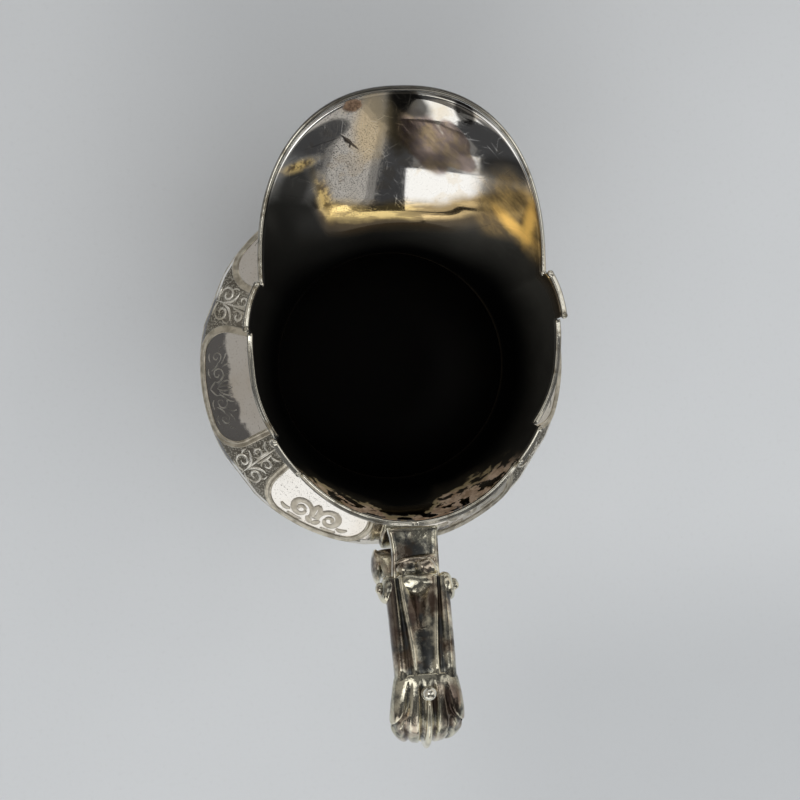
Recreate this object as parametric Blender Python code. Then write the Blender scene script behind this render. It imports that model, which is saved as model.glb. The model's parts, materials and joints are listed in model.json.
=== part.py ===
"""Plated milk jug with a broad pouring lip, a stepped rim and a cast scroll handle.

The jug is built the way it is soldered together: two raised shells, lengths of rim wire,
a foot in three pieces, and a handle made up from its castings.
Lengths are in metres and angles in degrees. The jug's axis is the local Z axis. Angles
around it start at the lip, which points along +Y, and end at the handle, along -Y.
"""

import math

import bmesh
import bpy
from mathutils import Vector
from mathutils.geometry import interpolate_bezier

# Sheet and solder
WALL = 0.0010
SOLDER_GAP = 0.0003

# Bowl and neck, outside sizes
BELLY_RADIUS = 0.0458
THROAT_RADIUS = 0.0278
RIM_RADIUS = 0.0337
BOWL_DEPTH = 0.0330
SHOULDER_HEIGHT = 0.0155
NECK_HEIGHT = 0.0325
BOWL_FULLNESS = 2.0
SHOULDER_TURN = 0.80
NECK_FLARE = 1.5

# Straps between the six panels, and the rim tabs that they end in
STRAP_ANGLE = 16.0
FRONT_STRAP = 66.5
REAR_STRAP = 124.3
FRONT_TAB_RISE = 0.0024
SIDE_SCALLOP_START = -0.0005
SIDE_SCALLOP_END = -0.0068
REAR_TAB_RISE = -0.0033
REAR_SCALLOP_START = -0.0043
STEP_ANGLE = 0.8

# Pouring lip
LIP_REACH = 0.0575
LIP_HALF_WIDTH = 0.0305
LIP_RISE = 0.0065
LIP_SQUARENESS = 2.3
LIP_SWEEP = 1.25
LIP_FLARE = 5.0

# Rim wire
WIRE_RADIUS = 0.00065

# Foot
FOOT_RADIUS = 0.0290
FOOT_RING_WIDTH = 0.0040
FOOT_RING_HEIGHT = 0.0026
SPOOL_HEIGHT = 0.0118
SPOOL_TOP_RADIUS = 0.0135
COLLAR_HEIGHT = 0.0030
COLLAR_OVERHANG = 0.0018
SEAT_RADIUS = 0.0140

# Handle, upper end
PLATE_THICKNESS = 0.0011
UPPER_PLATE_WIDTH = 0.0126
UPPER_PLATE_TOP = 0.0020
UPPER_PLATE_HEIGHT = 0.0105
STRAP_WIDTH = 0.0108
STRAP_THICKNESS = 0.0022
STRAP_LENGTH = 0.0112
STRAP_PITCH = 14.0
BOSS_WIDTH = 0.0068
BOSS_LENGTH = 0.0042
BOSS_HEIGHT = 0.0016

# Handle, bar and knuckle
HANDLE_REACH = 0.0826
HANDLE_RISE = 0.0130
BAR_WIDTH = 0.0128
BAR_DEPTH = 0.0058
BAR_SHARE = 0.54
LEAF_WIDTH = 0.0156
LEAF_DEPTH = 0.0078
LEAF_DROP = 0.0135
BEAD_RADIUS = 0.0016
BEAD_STATION = 1
VOLUTE_RADIUS = 0.0032
VOLUTE_DEPTH = 0.0029
VOLUTE_SHARE = 0.08

# Handle, drop and rolled tail
DROP_WIDTH = 0.0072
DROP_DEPTH = 0.0050
ROLL_WIDTH = 0.0090
ROLL_RADIUS = 0.0049
ROLL_THICKNESS = 0.0020
ROLL_TURNS = 1.25
ROLL_HEIGHT = 0.0012
LOWER_PLATE_WIDTH = 0.0096
LOWER_PLATE_HEIGHT = 0.0080

# Levels that follow from the stack of pieces
SPOOL_BASE_Z = FOOT_RING_HEIGHT + SOLDER_GAP
COLLAR_Z = SPOOL_BASE_Z + SPOOL_HEIGHT + SOLDER_GAP
BOWL_BASE_Z = COLLAR_Z + COLLAR_HEIGHT + SOLDER_GAP
BELLY_Z = BOWL_BASE_Z + BOWL_DEPTH
THROAT_Z = BELLY_Z + SHOULDER_HEIGHT
RIM_Z = THROAT_Z + NECK_HEIGHT
ROLL_Z = BELLY_Z + ROLL_HEIGHT
SIDE_ANGLE = 90.0
FRONT_TAB = (FRONT_STRAP - STRAP_ANGLE / 2, FRONT_STRAP + STRAP_ANGLE / 2)
REAR_TAB = (REAR_STRAP - STRAP_ANGLE / 2, REAR_STRAP + STRAP_ANGLE / 2)
LIP_ROOT = LIP_HALF_WIDTH / math.tan(math.radians(FRONT_TAB[0]))

TURNED_STEPS = 40
PLATE_ROWS = 10


def on_axis(angle, radius, z):
    """Point at an angle from the lip, a radius from the axis and a height."""
    turn = math.radians(angle)
    return Vector((radius * math.sin(turn), radius * math.cos(turn), z))


def on_handle(across, back, z):
    """Point of the handle: across it, back from the jug's axis, and its height."""
    return Vector((across, -back, z))


def smooth(share):
    """Ramp from 0 to 1 that starts and ends level."""
    share = min(max(share, 0.0), 1.0)
    return share * share * (3.0 - 2.0 * share)


def between(start, end, share):
    return start + (end - start) * share


def bowl_radius(z):
    """Outside radius of the round bowl at a height."""
    if z <= BELLY_Z:
        depth = min((BELLY_Z - z) / BOWL_DEPTH, 1.0)
        fill = (1.0 - depth ** BOWL_FULLNESS) ** (1.0 / BOWL_FULLNESS)
        return between(SEAT_RADIUS, BELLY_RADIUS, fill)
    share = ((z - BELLY_Z) / SHOULDER_HEIGHT) ** SHOULDER_TURN
    return between(THROAT_RADIUS, BELLY_RADIUS, 0.5 + 0.5 * math.cos(math.pi * share))


def strap_flat(angle):
    """Share of the radius left where a strap flattens the round bowl."""
    half = STRAP_ANGLE / 2
    off = min(abs(abs(angle) - strap) for strap in (0.0, FRONT_STRAP, REAR_STRAP, 180.0))
    if off >= half:
        return 1.0
    return math.cos(math.radians(half)) / math.cos(math.radians(off))


def bowl_point(angle, z):
    """Point on the outside of the bowl; the strap flats fade out at its base and throat."""
    full = (bowl_radius(z) - SEAT_RADIUS) / (BELLY_RADIUS - SEAT_RADIUS)
    if z > BELLY_Z:
        full = (bowl_radius(z) - THROAT_RADIUS) / (BELLY_RADIUS - THROAT_RADIUS)
    return on_axis(angle, bowl_radius(z) * between(1.0, strap_flat(angle), full), z)


def lip_radius(angle):
    """Distance from the axis to the lip's edge, found on its squared oval outline."""
    turn = math.radians(angle)
    near, far = 0.0, LIP_REACH + LIP_HALF_WIDTH
    for _ in range(50):
        middle = (near + far) / 2
        across = abs(middle * math.sin(turn)) / LIP_HALF_WIDTH
        forward = max(middle * math.cos(turn) - LIP_ROOT, 0.0) / (LIP_REACH - LIP_ROOT)
        if across ** LIP_SQUARENESS + forward ** LIP_SQUARENESS < 1.0:
            near = middle
        else:
            far = middle
    return near


def rim_line(angle):
    """Radius, height and flare of the plain rim line, before its steps are cut."""
    angle = abs(angle)
    if angle < FRONT_TAB[0]:
        radius = lip_radius(angle)
        run = (radius * math.cos(math.radians(angle)) - LIP_ROOT) / (LIP_REACH - LIP_ROOT)
        run = max(run, 0.0)
        flare = between(NECK_FLARE, LIP_FLARE, smooth(run))
        return radius, RIM_Z + LIP_RISE * run ** LIP_SWEEP, flare
    share = smooth((angle - FRONT_TAB[0]) / (SIDE_ANGLE - FRONT_TAB[0]))
    radius = between(LIP_HALF_WIDTH / math.sin(math.radians(FRONT_TAB[0])), RIM_RADIUS, share)
    return radius, RIM_Z, NECK_FLARE


def neck_point(angle, z):
    """Point on the outside of the neck, which flares from the throat to the rim line."""
    radius, top, flare = rim_line(angle)
    share = max(z - THROAT_Z, 0.0) / (top - THROAT_Z)
    return on_axis(angle, between(THROAT_RADIUS, radius, share ** flare), z)


def rim_runs():
    """The rim's five runs on one side: start angle, end angle and height by share."""
    quarter = math.pi / 2
    return (
        (0.0, FRONT_TAB[0], lambda share: rim_line(FRONT_TAB[0] * share)[1]),
        (FRONT_TAB[0], FRONT_TAB[1], lambda share: RIM_Z + FRONT_TAB_RISE),
        (FRONT_TAB[1], REAR_TAB[0], lambda share: RIM_Z + between(
            SIDE_SCALLOP_END, SIDE_SCALLOP_START, math.cos(quarter * share))),
        (REAR_TAB[0], REAR_TAB[1], lambda share: RIM_Z + REAR_TAB_RISE),
        (REAR_TAB[1], 180.0, lambda share: RIM_Z + between(
            REAR_SCALLOP_START, 0.0, math.sin(quarter * share))),
    )


def run_stations(run, steps, trim):
    """Evenly spaced angles and heights along one run, trimmed where it meets a step."""
    start, end, height = run
    first = start + (trim if start > 0.0 else 0.0)
    last = end - (trim if end < 180.0 else 0.0)
    found = []
    for i in range(steps + 1):
        angle = between(first, last, i / steps)
        found.append((angle, height((angle - start) / (end - start))))
    return found


def rim_stations():
    """Angles and heights all around the rim, from the handle past the lip and back."""
    half = []
    for run, steps in zip(rim_runs(), (10, 2, 6, 2, 6)):
        half += run_stations(run, steps, STEP_ANGLE / 2)
    return [(-angle, z) for angle, z in reversed(half[1:])] + half[:-1]


def metal(name, color, roughness):
    material = bpy.data.materials.new(name)
    material.use_nodes = True
    shader = material.node_tree.nodes["Principled BSDF"]
    shader.inputs["Base Color"].default_value = (*color, 1.0)
    shader.inputs["Metallic"].default_value = 1.0
    shader.inputs["Roughness"].default_value = roughness
    return material


def add_piece(name, data, finish):
    """Puts one named piece on the jug's axis with its finish."""
    piece = bpy.data.objects.new(name, data)
    bpy.context.scene.collection.objects.link(piece)
    data.materials.append(finish)
    piece.parent = axis
    return piece


def mesh_piece(name, bm, finish):
    """Makes a piece of a finished bmesh, with its faces turned outwards."""
    bmesh.ops.recalc_face_normals(bm, faces=bm.faces)
    mesh = bpy.data.meshes.new(name)
    bm.to_mesh(mesh)
    bm.free()
    return add_piece(name, mesh, finish)


def wrapped_grid(columns, rows, place):
    """Bends a grid to a surface: place gives the point for a column and a row."""
    bm = bmesh.new()
    bmesh.ops.create_grid(bm, x_segments=columns, y_segments=rows, size=0.5)
    for vert in bm.verts:
        column = round((vert.co.x + 0.5) * columns)
        row = round((vert.co.y + 0.5) * rows)
        vert.co = place(column, row)
    bmesh.ops.remove_doubles(bm, verts=bm.verts, dist=0.00001)
    return bm


def close_ends(bm):
    """Caps every open edge loop."""
    rim = [edge for edge in bm.edges if edge.is_boundary]
    bmesh.ops.holes_fill(bm, edges=rim, sides=0)


def skin_piece(name, bm, lift, thickness, side, finish):
    """Makes a walled piece of an open skin, lifted off its seat; side -1 is inwards."""
    bmesh.ops.recalc_face_normals(bm, faces=bm.faces)
    rear = min(bm.faces, key=lambda face: face.calc_center_median().y)
    if rear.normal.y > 0.0:
        bmesh.ops.reverse_faces(bm, faces=bm.faces)
    bm.normal_update()
    for vert in bm.verts:
        vert.co += vert.normal * lift
    mesh = bpy.data.meshes.new(name)
    bm.to_mesh(mesh)
    bm.free()
    wall = add_piece(name, mesh, finish).modifiers.new("wall", "SOLIDIFY")
    wall.thickness = thickness
    wall.offset = side
    wall.use_even_offset = True
    wall.use_quality_normals = True


def turned(name, outline, finish):
    """Turns a closed outline of radius and height pairs around the jug's axis."""
    bm = bmesh.new()
    corners = [bm.verts.new((radius, 0.0, z)) for radius, z in outline]
    edges = [bm.edges.new((corners[i - 1], corners[i])) for i in range(len(corners))]
    bmesh.ops.spin(
        bm, geom=corners + edges, axis=(0, 0, 1), angle=2 * math.pi,
        steps=TURNED_STEPS, use_merge=True)
    return mesh_piece(name, bm, finish)


def wire(name, points, radius, finish):
    """Round wire through a row of points, with capped ends."""
    curve = bpy.data.curves.new(name, "CURVE")
    curve.dimensions = "3D"
    curve.bevel_depth = radius
    curve.bevel_resolution = 2
    curve.use_fill_caps = True
    spline = curve.splines.new("POLY")
    spline.points.add(len(points) - 1)
    for i, point in enumerate(points):
        spline.points[i].co = (*point, 1.0)
    return add_piece(name, curve, finish)


def sweep(name, path, widths, depths, section, finish):
    """Carries a section along a handle path of back and height pairs."""
    def place(column, row):
        before = path[max(row - 1, 0)]
        after = path[min(row + 1, len(path) - 1)]
        along = (after - before).normalized()
        across, out = section[column % len(section)]
        back, z = path[row] + Vector((-along.y, along.x)) * (out * depths[row] / 2)
        return on_handle(across * widths[row] / 2, back, z)

    bm = wrapped_grid(len(section), len(path) - 1, place)
    close_ends(bm)
    return mesh_piece(name, bm, finish)


def bend(start, lean_out, lean_in, end, steps):
    """Smooth path between two handle points, pulled by its two leaning points."""
    return [Vector(point) for point in interpolate_bezier(start, lean_out, lean_in, end, steps)]


def heading(angle, length):
    """Step of a length along the handle's path; 0 is straight back, 90 straight up."""
    return Vector((math.cos(math.radians(angle)), math.sin(math.radians(angle)))) * length


def body_bowl(finish):
    angles = []
    straps = (-180.0, -REAR_STRAP, -FRONT_STRAP, 0.0, FRONT_STRAP, REAR_STRAP, 180.0)
    for here, there in zip(straps, straps[1:]):
        edge, far_edge = here + STRAP_ANGLE / 2, there - STRAP_ANGLE / 2
        angles += [here, between(edge, far_edge, 0.0)]
        angles += [between(edge, far_edge, i / 5) for i in range(1, 6)]
    levels = []
    for i in range(9):
        fill = math.cos(math.pi / 2 * i / 8) ** (2.0 / BOWL_FULLNESS)
        levels.append(BELLY_Z - BOWL_DEPTH * fill)
    for i in range(1, 11):
        levels.append(BELLY_Z + SHOULDER_HEIGHT * (i / 10) ** (1.0 / SHOULDER_TURN))

    bm = wrapped_grid(
        len(angles), len(levels) - 1,
        lambda column, row: bowl_point(angles[column % len(angles)], levels[row]))
    base = [edge for edge in bm.edges
            if edge.is_boundary and edge.verts[0].co.z < BELLY_Z]
    bmesh.ops.holes_fill(bm, edges=base, sides=0)
    skin_piece("body_bowl", bm, 0.0, WALL, -1, finish)


def neck_and_lip(finish):
    stations = rim_stations()
    foot_z = THROAT_Z + SOLDER_GAP
    lower_rows, upper_rows = 7, 3

    def place(column, row):
        angle, top = stations[column % len(stations)]
        ledge = rim_line(angle)[1] + SIDE_SCALLOP_END - WALL
        if row <= lower_rows:
            return neck_point(angle, between(foot_z, ledge, row / lower_rows))
        return neck_point(angle, between(ledge, top, (row - lower_rows) / upper_rows))

    bm = wrapped_grid(len(stations), lower_rows + upper_rows, place)
    skin_piece("neck_and_lip", bm, 0.0, WALL, -1, finish)


def rim_wire_point(angle, top):
    """Centre of the rim wire, which sits on the wall's edge in line with the wall."""
    edge = neck_point(angle, top)
    along = (edge - neck_point(angle, top - WALL)).normalized()
    side = Vector((math.cos(math.radians(angle)), -math.sin(math.radians(angle)), 0.0))
    inwards = along.cross(side)
    if inwards.dot(on_axis(angle, 1.0, 0.0)) > 0.0:
        inwards = -inwards
    return edge + inwards * (WALL / 2) + along * (SOLDER_GAP + WIRE_RADIUS)


def rim_wires(finish):
    end_gap = math.degrees((SOLDER_GAP + WIRE_RADIUS) / RIM_RADIUS) + STEP_ANGLE / 2
    runs = rim_runs()
    half = run_stations(runs[0], 10, end_gap)
    lip = [(-angle, z) for angle, z in reversed(half[1:])] + half
    wire("lip_wire", [rim_wire_point(angle, z) for angle, z in lip], WIRE_RADIUS, finish)
    names = ("front_{}_tab_wire", "{}_side_wire", "rear_{}_tab_wire", "rear_{}_wire")
    for name, run, steps in zip(names, runs[1:], (3, 7, 3, 7)):
        stations = run_stations((run[0], min(run[1], 180.0 - end_gap / 4), run[2]), steps, end_gap)
        for hand, side in (("left", -1), ("right", 1)):
            points = [rim_wire_point(side * angle, z) for angle, z in stations]
            wire(name.format(hand), points, WIRE_RADIUS, finish)


def foot(finish):
    inner = FOOT_RADIUS - FOOT_RING_WIDTH
    ring = [(inner, 0.0), (FOOT_RADIUS - FOOT_RING_HEIGHT / 3, 0.0)]
    for i in range(5):
        turn = math.pi / 2 * i / 4
        ring.append((
            FOOT_RADIUS - FOOT_RING_HEIGHT / 2 * (1.0 - math.cos(turn)),
            FOOT_RING_HEIGHT * (0.4 + 0.6 * math.sin(turn))))
    ring.append((inner, FOOT_RING_HEIGHT))
    turned("foot_ring", ring, finish)

    wide = FOOT_RADIUS - FOOT_RING_HEIGHT
    outside, inside = [], []
    for i in range(9):
        share = i / 8
        radius = between(wide, SPOOL_TOP_RADIUS, math.sin(math.pi / 2 * share) ** 0.8)
        z = SPOOL_BASE_Z + SPOOL_HEIGHT * (1.0 - math.cos(math.pi / 2 * share))
        outside.append((radius, z))
        inside.append((radius - WALL, max(z - WALL, SPOOL_BASE_Z)))
    inside[-1] = (SPOOL_TOP_RADIUS - WALL, SPOOL_BASE_Z + SPOOL_HEIGHT)
    turned("foot_spool", outside + inside[::-1][:-1], finish)

    collar = [(SPOOL_TOP_RADIUS - 2 * WALL, COLLAR_Z)]
    for i in range(7):
        turn = math.pi * (i / 6 - 0.5)
        collar.append((
            SPOOL_TOP_RADIUS + COLLAR_OVERHANG * math.cos(turn),
            COLLAR_Z + COLLAR_HEIGHT * (0.5 + 0.5 * math.sin(turn))))
    collar.append((SPOOL_TOP_RADIUS - 2 * WALL, COLLAR_Z + COLLAR_HEIGHT))
    turned("foot_collar", collar, finish)


def fitted_plate(name, surface, width, low, high, finish):
    """Thin plate bent to the back of a shell, clear of it by the solder gap."""
    def place(column, row):
        z = between(low, high, row / PLATE_ROWS)
        angle = 180.0 + math.degrees(width / -surface(180.0, z).y) * (column / 4 - 0.5)
        return surface(angle if angle <= 180.0 else angle - 360.0, z)

    bm = wrapped_grid(4, PLATE_ROWS, place)
    skin_piece(name, bm, SOLDER_GAP, PLATE_THICKNESS, 1, finish)


def rounded_boss(name, centre, lean, size, finish):
    """Low oval dome standing on a flat base; lean tips it with the handle."""
    bm = bmesh.new()
    bmesh.ops.create_uvsphere(bm, u_segments=12, v_segments=8, radius=0.5)
    bmesh.ops.bisect_plane(
        bm, geom=bm.verts[:] + bm.edges[:] + bm.faces[:], dist=0.000001,
        plane_co=(0, 0, 0), plane_no=(0, 0, 1), clear_inner=True)
    close_ends(bm)
    bmesh.ops.scale(bm, vec=size, verts=bm.verts)
    piece = mesh_piece(name, bm, finish)
    piece.location = centre
    piece.rotation_euler.x = -math.radians(lean)


def handle(finish):
    """Builds the handle and tells how far it reaches back from the jug's axis."""
    fluted = (
        (0.0, -1.0), (0.6, -0.9), (1.0, -0.2), (0.82, 0.9), (0.5, 0.35),
        (0.0, 0.75), (-0.5, 0.35), (-0.82, 0.9), (-1.0, -0.2), (-0.6, -0.9))
    leafy = (
        (0.0, -1.0), (0.55, -0.85), (1.0, -0.1), (0.78, 0.6), (0.3, 0.72),
        (0.0, 1.0), (-0.3, 0.72), (-0.78, 0.6), (-1.0, -0.1), (-0.55, -0.85))
    oval = tuple(
        (math.sin(math.pi / 4 * i), -math.cos(math.pi / 4 * i)) for i in range(8))
    flat = ((-1.0, -1.0), (1.0, -1.0), (1.0, 1.0), (-1.0, 1.0))

    strap_z = RIM_Z - UPPER_PLATE_TOP - STRAP_THICKNESS
    neck_back = -neck_point(180.0, RIM_Z - UPPER_PLATE_TOP).y
    start = Vector((neck_back + PLATE_THICKNESS * 1.3 + 2 * SOLDER_GAP, strap_z))
    strap_end = start + heading(STRAP_PITCH, STRAP_LENGTH)
    sweep("handle_strap", [start, strap_end], [STRAP_WIDTH] * 2, [STRAP_THICKNESS] * 2,
          flat, finish)

    bar_start = strap_end + heading(STRAP_PITCH, SOLDER_GAP)
    peak_z = RIM_Z + HANDLE_RISE - LEAF_DEPTH / 2
    leaf_start = Vector((between(bar_start.x, HANDLE_REACH, BAR_SHARE), peak_z - BEAD_RADIUS))
    pull = (leaf_start.x - bar_start.x) / 3
    bar_path = bend(bar_start, bar_start + heading(2 * STRAP_PITCH, pull),
                    leaf_start - heading(STRAP_PITCH, pull), leaf_start, 9)
    bar_widths = [BAR_WIDTH * between(0.92, 1.05, i / 8) for i in range(9)]
    sweep("handle_bar", bar_path, bar_widths, [BAR_DEPTH] * 9, fluted, finish)

    leaf_from = leaf_start + heading(STRAP_PITCH, SOLDER_GAP)
    leaf_end = Vector((HANDLE_REACH - DROP_DEPTH / 2, peak_z - LEAF_DROP))
    reach = leaf_end.x - leaf_from.x
    leaf_path = bend(leaf_from, leaf_from + heading(STRAP_PITCH, reach * 0.7),
                     leaf_end + heading(95.0, LEAF_DROP * 0.6), leaf_end, 11)
    swell = [math.sin(math.pi * i / 10) ** 0.7 for i in range(11)]
    leaf_widths = [between(BAR_WIDTH, DROP_WIDTH, smooth(i / 10)) for i in range(11)]
    leaf_widths = [between(w, LEAF_WIDTH, s) for w, s in zip(leaf_widths, swell)]
    leaf_depths = [between(DROP_DEPTH, LEAF_DEPTH, s) for s in swell]
    leaf = sweep("thumb_leaf", leaf_path, leaf_widths, leaf_depths, leafy, finish)

    seat = Vector((-bowl_point(180.0, ROLL_Z).y, ROLL_Z))
    below = Vector((-bowl_point(180.0, ROLL_Z - WALL).y, ROLL_Z - WALL))
    up = (seat - below).normalized()
    roll_lift = PLATE_THICKNESS + 3 * SOLDER_GAP + ROLL_RADIUS
    roll_centre = seat + Vector((up.y, -up.x)) * roll_lift
    coil = ROLL_RADIUS - ROLL_THICKNESS / 2
    coil_pitch = 1.6 * ROLL_THICKNESS / 2 + 2 * SOLDER_GAP
    roll_path = []
    for i in range(21):
        turn = 115.0 + 360.0 * ROLL_TURNS * i / 20
        roll_path.append(roll_centre + heading(turn, coil - coil_pitch * ROLL_TURNS * i / 20))
    drop_start = leaf_end + heading(-85.0, SOLDER_GAP)
    drop_path = bend(drop_start, drop_start + heading(-85.0, (drop_start.y - roll_centre.y) * 0.5),
                     roll_path[0] + heading(30.0, (drop_start.x - roll_centre.x) * 0.7),
                     roll_path[0], 15)
    path = drop_path[:-1] + roll_path
    widths = [between(DROP_WIDTH, ROLL_WIDTH, smooth(i / 14)) for i in range(14)]
    depths = [between(DROP_DEPTH, ROLL_THICKNESS, smooth(i / 14)) for i in range(14)]
    widths += [ROLL_WIDTH] * 21
    depths += [between(ROLL_THICKNESS, ROLL_THICKNESS / 2, i / 20) for i in range(21)]
    drop = sweep("handle_drop", path, widths, depths, oval, finish)

    boss_at = strap_end - heading(STRAP_PITCH, BOSS_LENGTH / 2 + SOLDER_GAP)
    boss_at += heading(STRAP_PITCH + 90.0, STRAP_THICKNESS / 2 + SOLDER_GAP)
    rounded_boss("strap_boss", on_handle(0.0, *boss_at), STRAP_PITCH,
                 (BOSS_WIDTH, BOSS_LENGTH, 2 * BOSS_HEIGHT), finish)

    lean = (leaf_path[BEAD_STATION + 1] - leaf_path[BEAD_STATION - 1]).normalized()
    bead_lift = leaf_depths[BEAD_STATION] / 2 + SOLDER_GAP + BEAD_RADIUS
    bead_at = leaf_path[BEAD_STATION] + Vector((-lean.y, lean.x)) * bead_lift
    bm = bmesh.new()
    bmesh.ops.create_icosphere(bm, subdivisions=2, radius=BEAD_RADIUS)
    bead = mesh_piece("thumb_bead", bm, finish)
    bead.location = on_handle(0.0, *bead_at)

    centre = bar_path[0].lerp(bar_path[-1], VOLUTE_SHARE)
    flank = bar_widths[1] / 2 + SOLDER_GAP
    button = [(0.0, 0.0), (1.0, 0.0), (1.0, 0.4), (0.82, 0.62), (0.5, 0.62), (0.36, 0.9), (0.0, 1.0)]
    for hand, side in (("left", -1), ("right", 1)):
        bm = bmesh.new()
        rim = [bm.verts.new((side * VOLUTE_DEPTH * out, 0.0, VOLUTE_RADIUS * wide))
               for wide, out in button]
        edges = [bm.edges.new(pair) for pair in zip(rim, rim[1:])]
        bmesh.ops.spin(bm, geom=rim + edges, axis=(1, 0, 0), angle=2 * math.pi,
                       steps=16, use_merge=True)
        bmesh.ops.remove_doubles(bm, verts=bm.verts, dist=0.00001)
        volute = mesh_piece(hand + "_volute", bm, finish)
        volute.location = on_handle(side * flank, *centre)
    return max(-vert.co.y for piece in (leaf, drop) for vert in piece.data.vertices)


for old in list(bpy.data.objects):
    bpy.data.objects.remove(old, do_unlink=True)

axis = bpy.data.objects.new("jug_axis", None)
bpy.context.scene.collection.objects.link(axis)

plate_silver = metal("silver_plate", (0.82, 0.81, 0.79), 0.16)
wire_silver = metal("silver_wire", (0.86, 0.85, 0.83), 0.14)
cast_silver = metal("cast_silver", (0.66, 0.62, 0.54), 0.28)

body_bowl(plate_silver)
neck_and_lip(plate_silver)
rim_wires(wire_silver)
foot(plate_silver)
fitted_plate("upper_handle_plate", neck_point, UPPER_PLATE_WIDTH,
             RIM_Z - UPPER_PLATE_TOP - UPPER_PLATE_HEIGHT, RIM_Z - UPPER_PLATE_TOP, cast_silver)
fitted_plate("lower_handle_plate", bowl_point, LOWER_PLATE_WIDTH,
             ROLL_Z - LOWER_PLATE_HEIGHT / 2, ROLL_Z + LOWER_PLATE_HEIGHT / 2, cast_silver)
handle_back = handle(cast_silver)

lip_front = rim_wire_point(0.0, rim_line(0.0)[1]).y + WIRE_RADIUS
axis.location.y = (handle_back - lip_front) / 2
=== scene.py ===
import json
import math

import bmesh
import bpy
from mathutils import Matrix, Vector
from mathutils.geometry import interpolate_bezier

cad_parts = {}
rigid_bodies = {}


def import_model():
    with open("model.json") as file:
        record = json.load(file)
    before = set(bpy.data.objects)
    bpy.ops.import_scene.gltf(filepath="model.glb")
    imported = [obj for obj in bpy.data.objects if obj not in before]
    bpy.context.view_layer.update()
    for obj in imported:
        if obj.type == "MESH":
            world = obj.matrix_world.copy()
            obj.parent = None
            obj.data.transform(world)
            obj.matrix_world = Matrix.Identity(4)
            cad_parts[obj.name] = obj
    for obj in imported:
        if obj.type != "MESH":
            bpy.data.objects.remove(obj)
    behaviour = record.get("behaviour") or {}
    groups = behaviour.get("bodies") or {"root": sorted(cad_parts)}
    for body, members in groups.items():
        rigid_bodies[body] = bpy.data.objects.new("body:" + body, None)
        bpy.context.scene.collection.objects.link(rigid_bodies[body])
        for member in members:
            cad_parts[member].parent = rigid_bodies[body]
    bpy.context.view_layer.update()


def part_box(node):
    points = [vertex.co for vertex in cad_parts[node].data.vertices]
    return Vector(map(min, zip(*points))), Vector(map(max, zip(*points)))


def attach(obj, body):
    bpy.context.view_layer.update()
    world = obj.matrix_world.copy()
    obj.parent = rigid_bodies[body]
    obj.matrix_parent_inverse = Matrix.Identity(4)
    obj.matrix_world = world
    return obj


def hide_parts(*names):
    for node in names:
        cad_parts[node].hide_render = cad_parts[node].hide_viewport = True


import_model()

# Lengths in metres, angles in degrees. Shapes are worked out around the jug's upright axis,
# with angle 0 at the pouring lip and 180 at the handle, and moved to the frame at the end.
ring_low, ring_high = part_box("foot_ring")
bowl_low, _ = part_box("body_bowl")
AXIS_Y = (ring_low.y + ring_high.y) / 2

MILLIMETRE = 0.001

# Sheet, bowl and neck
WALL = 0.0010
SEAM = 0.0003
BELLY_RADIUS = 0.0455
THROAT_RADIUS = 0.0278
RIM_RADIUS = 0.0337
SEAT_RADIUS = 0.0140
BOWL_DEPTH = 0.0330
SHOULDER_HEIGHT = 0.0155
NECK_HEIGHT = 0.0325
SHOULDER_TURN = 0.80
NECK_FLARE = 1.5
BELLY_Z = bowl_low.z + BOWL_DEPTH
THROAT_Z = BELLY_Z + SHOULDER_HEIGHT
RIM_Z = THROAT_Z + NECK_HEIGHT

# Straps and the stepped rim
STRAPS = (0.0, 66.5, 124.3, 180.0)
STRAP_HALF = 8.0
FRONT_TAB = (58.5, 74.5)
REAR_TAB = (116.3, 132.3)
FRONT_TAB_RISE = 0.0024
SIDE_SCALLOP = (-0.0005, -0.0068)
REAR_TAB_RISE = -0.0033
REAR_SCALLOP_START = -0.0043
STEP_ANGLE = 0.5

# Pouring lip
LIP_REACH = 0.0575
LIP_HALF_WIDTH = 0.0305
LIP_RISE = 0.0065
LIP_SQUARENESS = 2.3
LIP_SWEEP = 1.25
LIP_FLARE = 5.0
LIP_TROUGH = 0.0015
LIP_EDGE = 0.20
LIP_ROOT = LIP_HALF_WIDTH / math.tan(math.radians(FRONT_TAB[0]))
WIRE_RADIUS = 0.00065

# Handle
PLATE_THICKNESS = 0.0011
STRAP_THICKNESS = 0.0022
STRAP_LENGTH = 0.0112
STRAP_PITCH = 14.0
HANDLE_REACH = 0.0826
HANDLE_RISE = 0.0130
BAR_WIDTH = 0.0128
BAR_DEPTH = 0.0058
LEAF_WIDTH = 0.0156
LEAF_DEPTH = 0.0078
LEAF_DROP = 0.0135
BEAD_RADIUS = 0.0016
DROP_WIDTH = 0.0072
DROP_DEPTH = 0.0050
ROLL_WIDTH = 0.0106
ROLL_RADIUS = 0.0049
ROLL_THICKNESS = 0.0020
ROLL_TURNS = 1.25
ROLL_Z = BELLY_Z + 0.0012


def smooth(share):
    """Ramp from 0 to 1 that starts and ends level."""
    share = min(max(share, 0.0), 1.0)
    return share * share * (3.0 - 2.0 * share)


def between(start, end, share):
    return start + (end - start) * share


def ridge(place, centre, half):
    """Rounded ridge of height 1 around a centre, 0 beyond its half width."""
    return 1.0 - smooth(abs(place - centre) / half)


def on_axis(angle, radius, z):
    turn = math.radians(angle)
    return Vector((radius * math.sin(turn), radius * math.cos(turn), z))


def bowl_radius(z):
    if z <= BELLY_Z:
        depth = min((BELLY_Z - z) / BOWL_DEPTH, 1.0)
        return between(SEAT_RADIUS, BELLY_RADIUS, math.sqrt(1.0 - depth * depth))
    share = min((z - BELLY_Z) / SHOULDER_HEIGHT, 1.0) ** SHOULDER_TURN
    return between(THROAT_RADIUS, BELLY_RADIUS, 0.5 + 0.5 * math.cos(math.pi * share))


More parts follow.
